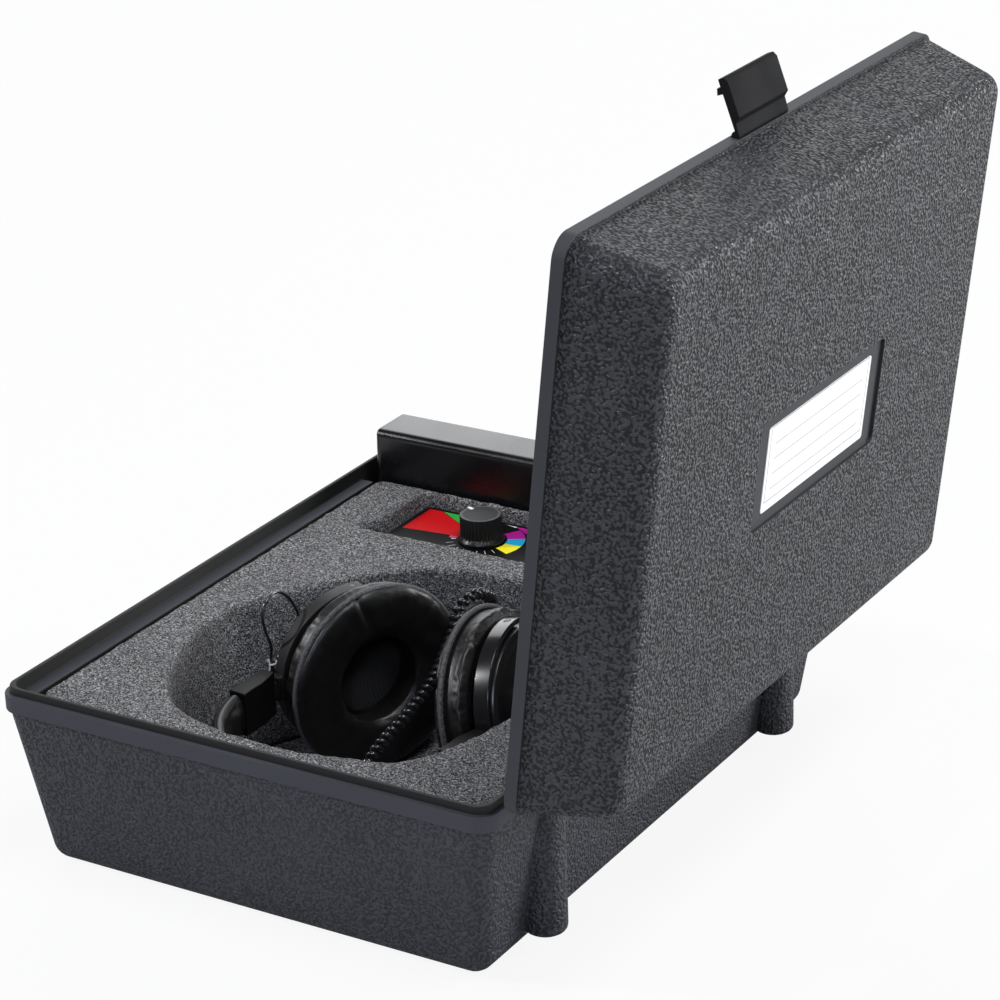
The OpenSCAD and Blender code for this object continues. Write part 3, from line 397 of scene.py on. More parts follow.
@cache
def woven_cloth():
    """Thin open cloth behind the ear pads' holes"""
    finish = Finish("woven cloth")
    weave = []
    for turn in (0, math.pi / 2):
        across = finish.stretched((1, 1, 1), (turn, 0, math.radians(-14)))
        weave.append(finish.node("ShaderNodeTexWave", {"bands_direction": "Z"},
                                 {"Vector": across, "Scale": 420.0, "Distortion": 0.6}))
    height = weave[0].maths("MAXIMUM", weave[1])
    # Painted shade between the threads, which are lighter where they stand highest
    tone = finish.mix(height, (0.002, 0.002, 0.002), (0.01, 0.01, 0.01))
    return finish.surface(tone, 0.8, finish.bump(height, 0.15 * MM), sheen_weight=0.05)


@cache
def cord_rubber():
    """Shiny black jacket of the cords"""
    finish = Finish("cord jacket")
    fine = finish.noise(0.25 * MM, detail=3)
    cloud = finish.noise(8 * MM, detail=2).step(0.3, 0.7)
    tone = finish.mix(cloud, (0.012, 0.012, 0.013), (0.022, 0.022, 0.023))
    return finish.surface(tone, 0.2 + 0.14 * fine, finish.bump(fine, 0.02 * MM), coat_weight=0.5,
                          coat_roughness=0.15)


@cache
def metal(name, colour, roughness=0.3):
    """Plated metal with faint brushed lines"""
    finish = Finish(name)
    lines = finish.noise(1.2 * MM, finish.stretched((1, 1, 12)), 3)
    tone = finish.mix(lines, tuple(0.75 * c for c in colour), colour)
    return finish.surface(tone, roughness + 0.15 * lines, finish.bump(lines, 0.012 * MM),
                          metallic=1.0)


@cache
def label_film():
    """Blank paper label under film, with ruled lines for a user's own notes"""
    finish = Finish("label film")
    place = finish.turned(LID_ANGLE, JOINT["lid_hinge"]["pos_m"])
    x, y, _ = finish.split(place)
    y = y + 2 * MM
    frame_x, frame_y, line, pitch = 46.4 * MM, 17.4 * MM, 0.4 * MM, 7 * MM
    frame_line = 1 - (abs(x) < frame_x) * (abs(y) < frame_y)
    frame_line = frame_line * (abs(x) < frame_x + line) * (abs(y) < frame_y + line)
    rules = ((y + 40 * MM) / pitch).maths("FRACT").between(0.46, 0.51)
    rules = rules * (abs(x) < 42 * MM) * (abs(y) < 13 * MM)
    paper = finish.noise(0.3 * MM, place, 3)
    yellowed = finish.noise(0.02, place, 4).step(0.4, 0.8)
    tone = finish.mix(yellowed * 0.5, (0.86, 0.86, 0.86), (0.78, 0.77, 0.73))
    tone = finish.mix(frame_line.maths("MAXIMUM", rules), tone, (0.16, 0.16, 0.17))
    return finish.surface(tone, 0.3 + 0.1 * paper, finish.bump(paper, 0.015 * MM),
                          coat_weight=0.3, coat_roughness=0.1)


@cache
def dial_print():
    """Colour-coded sectors printed round the selector, with plain graduations between them"""
    finish = Finish("dial print")
    centre = JOINT["selector_turn"]["pos_m"]
    low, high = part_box("dial_plate")
    x, y, _ = finish.split(finish.place)
    dx, dy = x - centre[0], y - centre[1]
    angle = dy.maths("ARCTAN2", dx) * (180 / math.pi)
    r = (dx * dx + dy * dy) ** 0.5 / MM
    edge = 2 * MM
    inside = x.between(low.x + edge, high.x - edge) * y.between(low.y + edge, high.y - edge)
    sectors = [  # start and end in degrees, inner and outer radius in mm, colour
        (-121, -84, 12.7, 80, (0.52, 0.004, 0.006)), (-140, -121.6, 12.7, 80, (0.03, 0.36, 0.05)),
        (160, 180, 22, 80, (0.7, 0.7, 0.7)), (-180, -177, 22, 80, (0.7, 0.7, 0.7)),
        (136, 159, 22.6, 80, (0.42, 0.01, 0.25)), (120, 150, 13, 22, (0.45, 0.01, 0.28)),
        (95, 120, 13, 22, (0.01, 0.42, 0.72)), (65, 95, 13, 22, (0.85, 0.78, 0.02)),
        (-83, -75, 13, 17, (0.75, 0.06, 0.18)), (-73, -68, 13, 15.5, (0.6, 0.6, 0.6)),
    ]
    tone = (0.002, 0.002, 0.002)
    for start, end, inner, outer, colour in sectors:
        mask = angle.between(start, end) * r.between(inner, outer) * inside
        tone = finish.mix(mask, tone, colour)
    ticks = ((angle + 180) / 15).maths("FRACT").between(0.47, 0.53)  # one every 15 degrees
    ticks = ticks * angle.between(-58, 58) * r.between(14, 18)
    tone = finish.mix(ticks, tone, (0.75, 0.75, 0.75))
    speck = finish.noise(0.2 * MM, detail=2)
    return finish.surface(tone, 0.42 + 0.1 * speck, finish.bump(speck, 0.01 * MM),
                          specular_level=0.15)


@cache
def plug_finish():
    """Moulded grip, nickel sleeve and tip, and the black ring between them"""
    finish = Finish("plug")
    start, heading = Vector(TAIL_ROUTE[-1]) * MM, math.radians(-73)
    way = Vector((math.cos(heading), math.sin(heading), 0))
    along = finish.node("ShaderNodeVectorMath", {"operation": "DOT_PRODUCT"},
                        {0: finish.place, 1: way}, out="Value")
    along = (along - start.dot(way)) / MM  # from here on, mm from the plug's back end
    grip_end, ring = 21, (31.1, 31.9)
    steel = (along > grip_end) * (1 - along.between(*ring))
    ribs = (along / 1.5).maths("FRACT").between(0.0, 0.45) * along.between(9, 19)
    fine = finish.noise(0.3 * MM, detail=2)
    tone = finish.mix(steel, (0.02, 0.02, 0.021), (0.7, 0.68, 0.62))
    normal = finish.bump(fine * 0.1 - ribs, 0.25 * MM)
    return finish.surface(tone, 0.4 - 0.18 * steel + 0.08 * fine, normal, metallic=steel)


@cache
def circuit_mask():
    """Green lacquer over a grid of tracks"""
    finish = Finish("circuit board")
    cells = finish.node("ShaderNodeTexBrick", {"offset": 0.5}, {
        "Vector": finish.place, "Scale": 220.0, "Mortar Size": 0.06}, out="Fac")
    tone = finish.mix(cells, (0.01, 0.09, 0.03), (0.03, 0.2, 0.07))
    return finish.surface(tone, 0.35 + 0.1 * finish.noise(2 * MM), finish.bump(cells, 0.03 * MM))


@cache
def battery_skin():
    """Plain wrapped metal with a dark end"""
    finish = Finish("battery skin")
    low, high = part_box("battery")
    _, y, _ = finish.split(finish.place)
    share = (y - low.y) / (high.y - low.y)
    fine = finish.noise(0.5 * MM, detail=2)
    tone = finish.mix(share > 0.9, (0.12, 0.13, 0.15), (0.02, 0.02, 0.022))
    return finish.surface(tone, 0.28 + 0.1 * fine, finish.bump(fine, 0.01 * MM), metallic=0.4)


# ---- modelling ----


def only(*pieces):
    """Selects these objects alone, in object mode"""
    if bpy.context.object and bpy.context.object.mode != "OBJECT":
        bpy.ops.object.mode_set(mode="OBJECT")
    bpy.ops.object.select_all(action="DESELECT")
    for piece in pieces:
        piece.select_set(True)
    bpy.context.view_layer.objects.active = pieces[0] if pieces else None


def new_primitive(add, name, **sizes):
    """A primitive, added with nothing else selected"""
    only()
    add(**sizes)
    piece = bpy.context.object
    piece.name = piece.data.name = name
    return piece


def place_in_mesh(piece, matrix=None):
    """Puts the piece's place into its mesh, so that its object sits at the origin"""
    only(piece)
    bpy.ops.object.transform_apply(location=True, rotation=True, scale=True)
    if matrix:
        piece.data.transform(matrix)


def pick(piece, kind, test=None):
    """Opens the piece for editing, with all of it selected, or the faces that pass a test"""
    mesh = piece.data
    for group in (mesh.vertices, mesh.edges, mesh.polygons):
        group.foreach_set("select", np.zeros(len(group), bool))
    bpy.context.tool_settings.mesh_select_mode = tuple(kind == k for k in ("VERT", "EDGE", "FACE"))
    if test:
        for face in mesh.polygons:
            face.select = test(face.center, face.normal)
    bpy.ops.object.mode_set(mode="EDIT")
    if not test:
        bpy.ops.mesh.select_all(action="SELECT")


def done_editing():
    bpy.ops.object.mode_set(mode="OBJECT")


def modify(piece, kind, **settings):
    """Adds a modifier and applies it"""
    only(piece)
    made = piece.modifiers.new(kind.lower(), kind)
    for key, value in settings.items():
        setattr(made, key, value)
    bpy.ops.object.modifier_apply(modifier=made.name)


def points_of(piece):
    co = np.empty(len(piece.data.vertices) * 3)
    piece.data.vertices.foreach_get("co", co)
    return co.reshape(-1, 3)


def set_points(piece, co):
    piece.data.vertices.foreach_set("co", np.asarray(co, np.float32).ravel())
    piece.data.update()


def smooth_faces(piece, angle=40):
    only(piece)
    bpy.ops.object.shade_smooth_by_angle(angle=math.radians(angle))


def wear(piece, material):
    piece.data.materials.clear()
    piece.data.materials.append(material)


def trim(piece, material):
    """Gives a new piece its material"""
    wear(piece, material)
    return piece


def finished(piece, node, material, *also):
    """Gives a new piece its material, and lets it stand for one or more CAD nodes"""
    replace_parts(trim(piece, material), node, *also)
    return piece


def paint(material, *nodes):
    """A better material for CAD nodes that stay as they are"""
    for node in nodes:
        frame["nodes"][node].data.materials.clear()
        frame["nodes"][node].data.materials.append(material)


def welded(node, name):
    """A merged copy of a CAD node, with its flat faces whole"""
    source = frame["nodes"][node]
    piece = bpy.data.objects.new(name, source.data.copy())
    bpy.context.scene.collection.objects.link(piece)
    only(piece)
    bpy.ops.mesh.customdata_custom_splitnormals_clear()
    pick(piece, "FACE")
    bpy.ops.mesh.remove_doubles(threshold=2e-6)
    done_editing()
    # Opened afresh, so that the merged faces are in order before the flat ones are joined
    pick(piece, "FACE")
    bpy.ops.mesh.dissolve_limited(angle_limit=math.radians(0.3))
    done_editing()
    return piece


def eased(piece, ease, steps, crease=32):
    """Bevels the piece's sharp edges; ease is in mm"""
    modify(piece, "BEVEL", width=ease * MM, segments=steps, limit_method="ANGLE",
           angle_limit=math.radians(crease), use_clamp_overlap=False)


def mark_outside(piece, matrix, hollow, middle_z):
    """Marks a shell's outer faces, by their place against its hollow and the way they look; the case's material
    gives the faces left unmarked a near-black painted shade

    The matrix brings the shell to where it is when shut, and middle_z is in mm.
    """
    half_low, half_high, low, high = hollow
    middle = Vector((0, 0, middle_z))
    mesh = piece.data
    marks = mesh.attributes.new("outside", "FLOAT", "FACE")
    for face, mark in zip(mesh.polygons, marks.data):
        at, way = matrix @ face.center / MM, matrix.to_3x3() @ face.normal
        share = (at.z - low) / (high - low)
        half = [a + (b - a) * share for a, b in zip(half_low, half_high)]
        within = abs(at.x) < half[0] and abs(at.y) < half[1]
        mark.value = 0.0 if within and way.dot(at - middle) < 0 else 1.0


def dressed(node, material, ease=0.3, steps=2):
    """A CAD node's form with its edges eased and its curves smooth; it stands for the node"""
    piece = welded(node, f"{node}_moulding")
    if ease:
        eased(piece, ease, steps)
        set_points(piece, np.clip(points_of(piece), *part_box(node)))
    smooth_faces(piece, 42)
    modify(piece, "WEIGHTED_NORMAL", keep_sharp=True)
    finished(piece, node, material)
    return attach(piece, BODY_OF[node])


def cup_place(side):
    """Where an ear cup is: local +X is the way its pad faces, local Z its pivot"""
    cup = CUPS[side]
    return (
        Matrix.Rotation(math.radians(PHONES_TURN), 4, "Z")
        @ Matrix.Translation(cup["pivot"])
        @ Matrix.Rotation(math.radians(cup["lean"]), 4, "X")
        @ Matrix.Rotation(math.radians(cup["faces"]), 4, "Z")
    )


def stuffed(piece, pinned, limit, fullness):
    """Lets the piece's skin swell and crease over its stuffing, held along its seams"""
    rest = points_of(piece)
    group = piece.vertex_groups.new(name="seams")
    group.add([int(i) for i in np.flatnonzero(pinned)], 1.0, "REPLACE")
    made = piece.modifiers.new("swell", "CLOTH")
    settings = made.settings
    settings.quality = 5
    settings.mass = 0.15
    settings.tension_stiffness = settings.compression_stiffness = 12
    settings.shear_stiffness = 4
    settings.bending_stiffness = 0.12
    settings.use_pressure = True
    settings.uniform_pressure_force = 2.5
    settings.shrink_min = -fullness
    settings.vertex_group_mass = "seams"
    settings.effector_weights.gravity = 0
    made.collision_settings.use_collision = False
    made.collision_settings.use_self_collision = False
    scene = bpy.context.scene
    for step in range(1, 21):
        scene.frame_set(step)
    only(piece)
    bpy.ops.object.modifier_apply(modifier=made.name)
    scene.frame_set(1)
    piece.vertex_groups.clear()
    push = points_of(piece) - rest
    long = np.linalg.norm(push, axis=1, keepdims=True)
    set_points(piece, rest + push * (limit * np.tanh(long / limit) / np.maximum(long, 1e-9)))


def stitches(name, threads, long, wide):
    """Stitches as one mesh, from the (middle, along, out) of each"""
    one = new_primitive(bpy.ops.mesh.primitive_uv_sphere_add, "stitch", segments=8, ring_count=6,
                        radius=0.5)
    shape = points_of(one) * (long, wide, wide * 0.8)
    faces = [tuple(f.vertices) for f in one.data.polygons]
    bpy.data.objects.remove(one)
    points, joined = [], []
    for middle, along, out in threads:
        x, z = along.normalized(), out.normalized()
        y = z.cross(x).normalized()
        turn = np.array((x, y, x.cross(y)))
        joined += [tuple(i + len(shape) * len(points) for i in f) for f in faces]
        points.append(shape @ turn + np.array(middle))
    mesh = bpy.data.meshes.new(name)
    mesh.from_pydata(np.concatenate(points).tolist(), [], joined)
    piece = bpy.data.objects.new(name, mesh)
    bpy.context.scene.collection.objects.link(piece)
    smooth_faces(piece, 80)
    return piece


# ---- swept cords ----


def smooth_route(route, parts):
    """Smooth curve through a route's points, in metres"""
    p = [Vector(v) * MM for v in route]
    line = []
    for i in range(len(p) - 1):
        a, b, c, d = p[max(i - 1, 0)], p[i], p[i + 1], p[min(i + 2, len(p) - 1)]
        for k in range(parts):
            t = k / parts
            line.append(0.5 * (2 * b + (c - a) * t + (2 * a - 5 * b + 4 * c - d) * t * t
                               + (3 * b - a - 3 * c + d) * t**3))
    return np.array([*line, p[-1]])


def evenly(line, step):
    """The line with its points an even distance apart, and how far along it each one is"""
    along = np.concatenate([[0], np.cumsum(np.linalg.norm(np.diff(line, axis=0), axis=1))])
    at = np.linspace(0, along[-1], max(2, round(along[-1] / step) + 1))
    return np.stack([np.interp(at, along, line[:, k]) for k in range(3)], axis=1), at


def curled(line, pitch, radius, plain_start, plain_end):
    """A wire curled round the line, plain at its ends, and the line with its points even"""
    axis, at = evenly(line, pitch / 14)
    ahead = np.gradient(axis, axis=0)
    ahead /= np.linalg.norm(ahead, axis=1, keepdims=True)
    side = np.cross(ahead[0], (0.3, 0.2, 1))
    out = np.empty_like(axis)
    ramp = np.clip(np.minimum(at / plain_start, (at[-1] - at) / plain_end), 0, 1)
    for i, t in enumerate(ahead):
        side = side - (side @ t) * t
        side /= np.linalg.norm(side)
        turn = 2 * math.pi * at[i] / pitch
        across = math.cos(turn) * side + math.sin(turn) * np.cross(t, side)
        out[i] = axis[i] + radius * ramp[i] ** 0.7 * across
    return out, axis


def hose(name, line, radius):
    """A closed tube along the line, as a mesh"""
    curve = bpy.data.curves.new(name, "CURVE")
    curve.dimensions = "3D"
    curve.bevel_depth, curve.bevel_resolution = 1.0, 2
    curve.use_fill_caps = True
    spline = curve.splines.new("POLY")
    spline.points.add(len(line) - 1)
    spline.points.foreach_set("co", np.column_stack([line, np.ones(len(line))]).ravel())
    spline.points.foreach_set("radius", np.full(len(line), radius))
    piece = bpy.data.objects.new(name, curve)
    bpy.context.scene.collection.objects.link(piece)
    only(piece)
    bpy.ops.object.convert(target="MESH")
    piece = bpy.context.object
    smooth_faces(piece, 60)
    return piece


def sizes():
    return bpy.context.scene.tester_sizes


def colours():
    return bpy.context.scene.tester_colours


# ---- steps ----


class TESTER_OT_case_mouldings(bpy.types.Operator):
    """Grained base and lid, latch strap, hinge pins and the blank label"""

    bl_idname = "tester.case_mouldings"
    bl_label = "Case mouldings"

    def execute(self, context):
        grain, colour = sizes().grain, tuple(colours().case)
        # The base wears a paler, bluish copy of the case colour: painted light on the same plastic as the lid
        base_painted_light = tuple(c * gain for c, gain in zip(colour, (1.35, 1.35, 1.45)))
        base = dressed("base_shell", grained_plastic("base", grain, base_painted_light), 0.5)
        mark_outside(base, Matrix.Identity(4), BASE_HOLLOW, 50)
        lid = dressed("lid_shell", grained_plastic("lid", grain, colour), 0.4)
        hinge = Matrix.Translation(JOINT["lid_hinge"]["pos_m"])
        shut = hinge @ Matrix.Rotation(LID_ANGLE, 4, "X") @ hinge.inverted()
        mark_outside(lid, shut, LID_HOLLOW, 112)
        strap = satin_plastic("latch", (0.011, 0.011, 0.0115), 0.7, 0.9, 0.12, level=0.06)
        dressed("latch_strap", strap, 0.25)
        dressed("lid_label", label_film(), 0)
        paint(metal("hinge steel", (0.5, 0.5, 0.51)), "hinge_pins")
        return {"FINISHED"}


class TESTER_OT_handle(bpy.types.Operator):
    """Smooth handle housing, the folding handle and its pins"""

    bl_idname = "tester.handle"
    bl_label = "Carrying handle"

    def execute(self, context):
        housing = satin_plastic("housing", (0.004, 0.004, 0.0045), 0.24, 0.6, 0.012)
        dressed("handle_housing", housing, 0.8, 3)
        dressed("carry_handle", satin_plastic("handle", (0.02, 0.02, 0.021), 0.42), 0.6, 3)
        paint(metal("pin steel", (0.55, 0.55, 0.56)), "handle_pins")
        return {"FINISHED"}


class TESTER_OT_foam(bpy.types.Operator):
    """Cut foam block, the sheet under it and the pad in the lid, with soft cut edges"""

    bl_idname = "tester.foam"
    bl_label = "Foam"

    def execute(self, context):
        material = foam_rubber(tuple(colours().foam))
        waves = []
        for name, size, depth, height in (
            ("foam ripple", 8 * MM, 2, 0.9 * MM), ("torn foam", 2.6 * MM, 1, 0.8 * MM),
        ):
            texture = bpy.data.textures.new(name, "CLOUDS")
            texture.noise_scale, texture.noise_depth = size, depth
            waves.append((texture, height))
        for node, voxel, ease in (
            ("foam_insert", sizes().foam_voxel, 0.9), ("foam_sheet", 3.2 * MM, 0.5),
            ("lid_foam", 4 * MM, 1.5),
        ):
            piece = welded(node, f"{node}_cut")
            eased(piece, ease, 2)
            modify(piece, "REMESH", mode="VOXEL", voxel_size=voxel)
            for texture, height in waves:
                modify(piece, "DISPLACE", texture=texture, texture_coords="LOCAL",
                       strength=height, mid_level=0.62)
            smooth_faces(piece, 70)
            finished(piece, node, material)
            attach(piece, BODY_OF[node])
        return {"FINISHED"}


class TESTER_OT_control_unit(bpy.types.Operator):
    """Box of the control unit with its dial, socket and what is inside"""

    bl_idname = "tester.control_unit"
    bl_label = "Control unit"

    def execute(self, context):
        shell = satin_plastic("unit shell", (0.018, 0.018, 0.019), 0.45, 0.5, 0.05)
        for node in ("unit_base", "unit_cover", "battery_door"):
            dressed(node, shell)
        dressed("dial_plate", dial_print(), 0)
        steel = metal("nickel", (0.6, 0.59, 0.57))
        paint(steel, "unit_screws", "switch_shaft", "switch_nut", "headphone_socket")
        paint(circuit_mask(), "circuit_board")
        paint(satin_plastic("switch body", (0.03, 0.1, 0.06)), "selector_switch")
        paint(battery_skin(), "battery")
        return {"FINISHED"}


class TESTER_OT_selector_knob(bpy.types.Operator):
    """Fluted selector knob with its skirt, dark cap and white pointer"""

    bl_idname = "tester.selector_knob"
    bl_label = "Selector knob"

    def execute(self, context):
        low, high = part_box("selector_knob")
        centre = (low + high) / 2
        tall, skirt_r, top_r = high.z - low.z, (high.x - low.x) / 2, 10.5 * MM
        chamfer, flutes, flute = 0.9 * MM, 36, 0.35 * MM
        knob = new_primitive(
            bpy.ops.mesh.primitive_cylinder_add, "selector_knob_fluted", vertices=4 * flutes,
            radius=top_r, depth=tall - 3.4 * MM,
            location=(centre.x, centre.y, low.z + 3.4 * MM + (tall - 3.6 * MM) / 2))
        place_in_mesh(knob)
        pick(knob, "FACE", lambda c, n: n.z < -0.9)
        for drop, grow in (
            (0.9 * MM, (skirt_r - chamfer) / top_r), (1.2 * MM, skirt_r / (skirt_r - chamfer)),
            (1.2 * MM, 1),
        ):
            bpy.ops.mesh.extrude_region_move(TRANSFORM_OT_translate={"value": (0, 0, -drop)})
            bpy.ops.transform.resize(value=(grow, grow, 1), center_override=centre)
        done_editing()
        pick(knob, "FACE", lambda c, n: n.z > 0.9 and c.z > high.z - MM)
        bpy.ops.mesh.inset(thickness=0.5 * MM, depth=0.35 * MM)
        bpy.ops.mesh.inset(thickness=1.25 * MM)
        bpy.ops.mesh.extrude_region_move(TRANSFORM_OT_translate={"value": (0, 0, -MM)})
        done_editing()
        co = points_of(knob)
        flat = co[:, :2] - (centre.x, centre.y)
        r = np.linalg.norm(flat, axis=1)
        turn = np.arctan2(flat[:, 1], flat[:, 0])
        on_side = (np.abs(r - top_r) < 0.02 * MM) & (co[:, 2] > low.z + 3.2 * MM)
        cut = np.where(np.round(turn / (2 * math.pi) * 4 * flutes) % 4 < 2, flute, 0)
        fade = np.where(co[:, 2] > high.z - 1.2 * MM, 0.6, 1.0)
        flat[on_side] *= (1 - (cut * fade)[on_side] / r[on_side])[:, None]
        co[:, :2] = flat + (centre.x, centre.y)
        co[:, 2] = np.minimum(co[:, 2], high.z - 0.25 * MM)
        set_points(knob, co)
        eased(knob, 0.12, 2, 28)
        smooth_faces(knob, 35)
        black = satin_plastic("knob", (0.006, 0.006, 0.006), 0.36, 0.4, 0.02)
        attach(finished(knob, "selector_knob", black), "selector")
        cap = satin_plastic("knob cap", (0.007, 0.009, 0.011), 0.42, level=0.2)
        dressed("knob_cap", cap, 0.15)
        paint(satin_plastic("pointer white", (0.85, 0.85, 0.85), 0.3), "knob_pointer")
        return {"FINISHED"}


class TESTER_OT_ear_cups(bpy.types.Operator):
    """Ear cups' shells, baffles and drivers, and the forks, sliders and band ends"""

    bl_idname = "tester.ear_cups"
    bl_label = "Ear cups and forks"

    def execute(self, context):
        cup = satin_plastic("cup shell", (0.009, 0.009, 0.01), 0.3, 0.5, 0.02)
        # The two fork materials are lit and shaded copies of one plastic: the left fork's is darker and matt, as
        # painted shade
        gloss = satin_plastic("fork lit gloss", (0.008, 0.008, 0.01), 0.22, 0.8, 0.006, 0.3)
        matt = satin_plastic("fork shaded satin", (0.004, 0.004, 0.004), 0.5, 0.8, 0.006)
        ends = satin_plastic("band end", (0.005, 0.005, 0.005), 0.42, level=0.15)
        steel = metal("plated steel", (0.5, 0.5, 0.5), 0.25)
        pins = metal("black pins", (0.06, 0.06, 0.065), 0.3)
        driver = metal("driver frame", (0.2, 0.2, 0.21), 0.35)
        for side in CUPS:
            dressed(f"cup_shell_{side}", cup, 0.25)
            dressed(f"cup_baffle_{side}", cup, 0.2, 1)
            dressed(f"fork_{side}", gloss if side == "right" else matt, 0.5, 3)
            dressed(f"band_end_{side}", ends, 0.6, 3)
            paint(steel, f"slider_{side}")
            paint(pins, f"pivot_pins_{side}")
            paint(driver, f"driver_{side}")
        dressed("cord_relief", cord_rubber())
        paint(steel, "headband_steel")
        return {"FINISHED"}


def pad_profile(angle):
    """(radius, distance along X) on the pad's section, from an angle round it

    The exponents below 1 square the section off, most of all at its back.
    """
    u, v = np.cos(angle), np.sin(angle)
    middle, half = (PAD_R + PAD_HOLE) / 2, (PAD_R - PAD_HOLE) / 2
    front = v > 0
    rise = PAD_BACK + PAD_THICK - PAD_SEAM
    fold = np.exp(-(angle**2) / 0.05) + np.exp(-((angle - 2 * math.pi) ** 2) / 0.05)
    r = middle + np.sign(u) * half * np.abs(u) ** np.where(front, 0.95, 0.22) - 2.4 * MM * fold
    x = np.where(
        front, PAD_SEAM + rise * np.abs(v) ** 0.8,
        PAD_SEAM - (PAD_SEAM - PAD_BACK) * np.abs(v) ** 0.45)
    sunk = np.clip((PAD_SEAM - x) / (PAD_SEAM - PAD_BACK), 0, 1)
    return r - np.where(u > 0, 2.5 * MM * sunk**1.6, 0), x


class TESTER_OT_ear_pads(bpy.types.Operator):
    """Stuffed vinyl ear pads with stitched piping, and the cloth in their holes"""

    bl_idname = "tester.ear_pads"
    bl_label = "Ear pads"

    def execute(self, context):
        vinyl = soft_vinyl(tuple(colours().vinyl))
        for side in CUPS:
            self.pad(side, vinyl)
            self.piping(side)
            self.cloth(side)
        return {"FINISHED"}

    def pad(self, side, vinyl):
        """Vinyl ring, pulled into shape over its stuffing and creased"""
        middle_r = (PAD_R + PAD_HOLE) / 2
        ring = new_primitive(
            bpy.ops.mesh.primitive_torus_add, f"ear_pad_{side}_stuffed", major_segments=168,
            minor_segments=44, major_radius=middle_r, minor_radius=9 * MM,
            rotation=(0, math.pi / 2, 0))
        place_in_mesh(ring)
        co = points_of(ring)
        r = np.linalg.norm(co[:, 1:], axis=1)
        angle = np.arctan2(co[:, 0], r - middle_r) % (2 * math.pi)
        new_r, new_x = pad_profile(angle)
        spin = np.arctan2(co[:, 2], co[:, 1])
        phase = 0.6 if side == "left" else 2.1
        tug = 1 + 0.012 * np.sin(7 * spin + phase) + 0.01 * np.sin(11 * spin + 2 * phase)
        front = np.clip((new_x - PAD_SEAM) / (6 * MM), 0, 1)
        new_r = new_r * (1 + (tug - 1) * front)
        co = np.column_stack([new_x, new_r * co[:, 1] / r, new_r * co[:, 2] / r])
        set_points(ring, co)
        ring.data.transform(cup_place(side))
        back = new_x < PAD_BACK + 0.4 * MM
        seam = (angle < 0.2) | (angle > 2 * math.pi - 0.2)
        inner = np.abs(angle - math.pi) < 0.2
        stuffed(ring, back | seam | inner, 0.9 * MM, sizes().fullness)
        self.creases(ring, new_r, new_x, spin, 1.8 if side == "left" else 0.6)
        modify(ring, "SUBSURF", levels=1, render_levels=1)
        smooth_faces(ring, 80)
        finished(ring, f"ear_pad_{side}", vinyl)
        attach(ring, f"cup_{side}")

    def creases(self, ring, r, x, spin, main):
        """Folds that run in from the seam, a deep one at the angle main and twelve faint ones"""
        co = points_of(ring)
        normals = np.empty(len(co) * 3)
        ring.data.vertices.foreach_get("normal", normals)
        reach = np.clip((r - 28 * MM) / (12 * MM), 0, 1) * (x > PAD_SEAM)
        push = np.zeros(len(co))
        chance = np.random.default_rng(round(main * 10))
        for k in range(13):
            at, deep, wide = main, 1.5, 1.5
            if k > 0:
                at = chance.uniform(-math.pi, math.pi)
                deep, wide = chance.uniform(0.15, 0.5), chance.uniform(1.2, 2.4)
            slant = chance.uniform(-0.15, 0.15) * (1 - reach)
            off = (spin - at - slant + math.pi) % (2 * math.pi) - math.pi
            push -= deep * MM * np.exp(-((off * r / (wide * MM)) ** 2)) * reach ** (1 + k % 3)
        set_points(ring, co + normals.reshape(-1, 3) * push[:, None])

    def piping(self, side):
        """Seam whipped over with thread, which looks like a thin rope"""
        at_r, turns = PAD_R - 0.9 * MM, round(2 * math.pi * PAD_R / sizes().stitch)
        ring = new_primitive(
            bpy.ops.mesh.primitive_torus_add, f"ear_pad_{side}_piping",
            major_segments=turns * 6, minor_segments=12, major_radius=at_r,
            minor_radius=1.3 * MM, rotation=(0, math.pi / 2, 0))
        place_in_mesh(ring)
        co = points_of(ring)
        r = np.linalg.norm(co[:, 1:], axis=1)
        spin, around = np.arctan2(co[:, 2], co[:, 1]), np.arctan2(co[:, 0], r - at_r)
        thick = (1.1 + 0.45 * np.abs(np.cos(0.5 * (turns * spin + 2 * around)))) * MM
        new_r = at_r + thick * np.cos(around)
        co = np.column_stack([
            PAD_SEAM + thick * np.sin(around), new_r * co[:, 1] / r, new_r * co[:, 2] / r])
        set_points(ring, co)
        ring.data.transform(cup_place(side))
        smooth_faces(ring, 80)
        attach(trim(ring, thread()), f"cup_{side}")

    def cloth(self, side):
        """Thin round cloth, domed a little, in the pad's hole"""
        edge_r = 20.4 * MM
        disc = new_primitive(
            bpy.ops.mesh.primitive_circle_add, f"pad_cloth_{side}_disc", vertices=64,
            radius=edge_r, fill_type="NGON", rotation=(0, math.pi / 2, 0))
        place_in_mesh(disc)
        pick(disc, "FACE")
        for inset in (2, 3, 3, 3, 3, 3):
            bpy.ops.mesh.inset(thickness=inset * MM)
        bpy.ops.mesh.merge(type="CENTER")
        done_editing()
        co = points_of(disc)
        r = np.linalg.norm(co[:, 1:], axis=1)
        co[:, 0] = 6.6 * MM + 2.3 * MM * (1 - (r / edge_r) ** 2.5)
        set_points(disc, co)
        modify(disc, "SUBSURF", levels=1, render_levels=1)
        modify(disc, "SOLIDIFY", thickness=0.5 * MM, offset=0)
        disc.data.transform(cup_place(side))
        smooth_faces(disc, 60)
        finished(disc, f"pad_cloth_{side}", woven_cloth())
        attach(disc, f"cup_{side}")


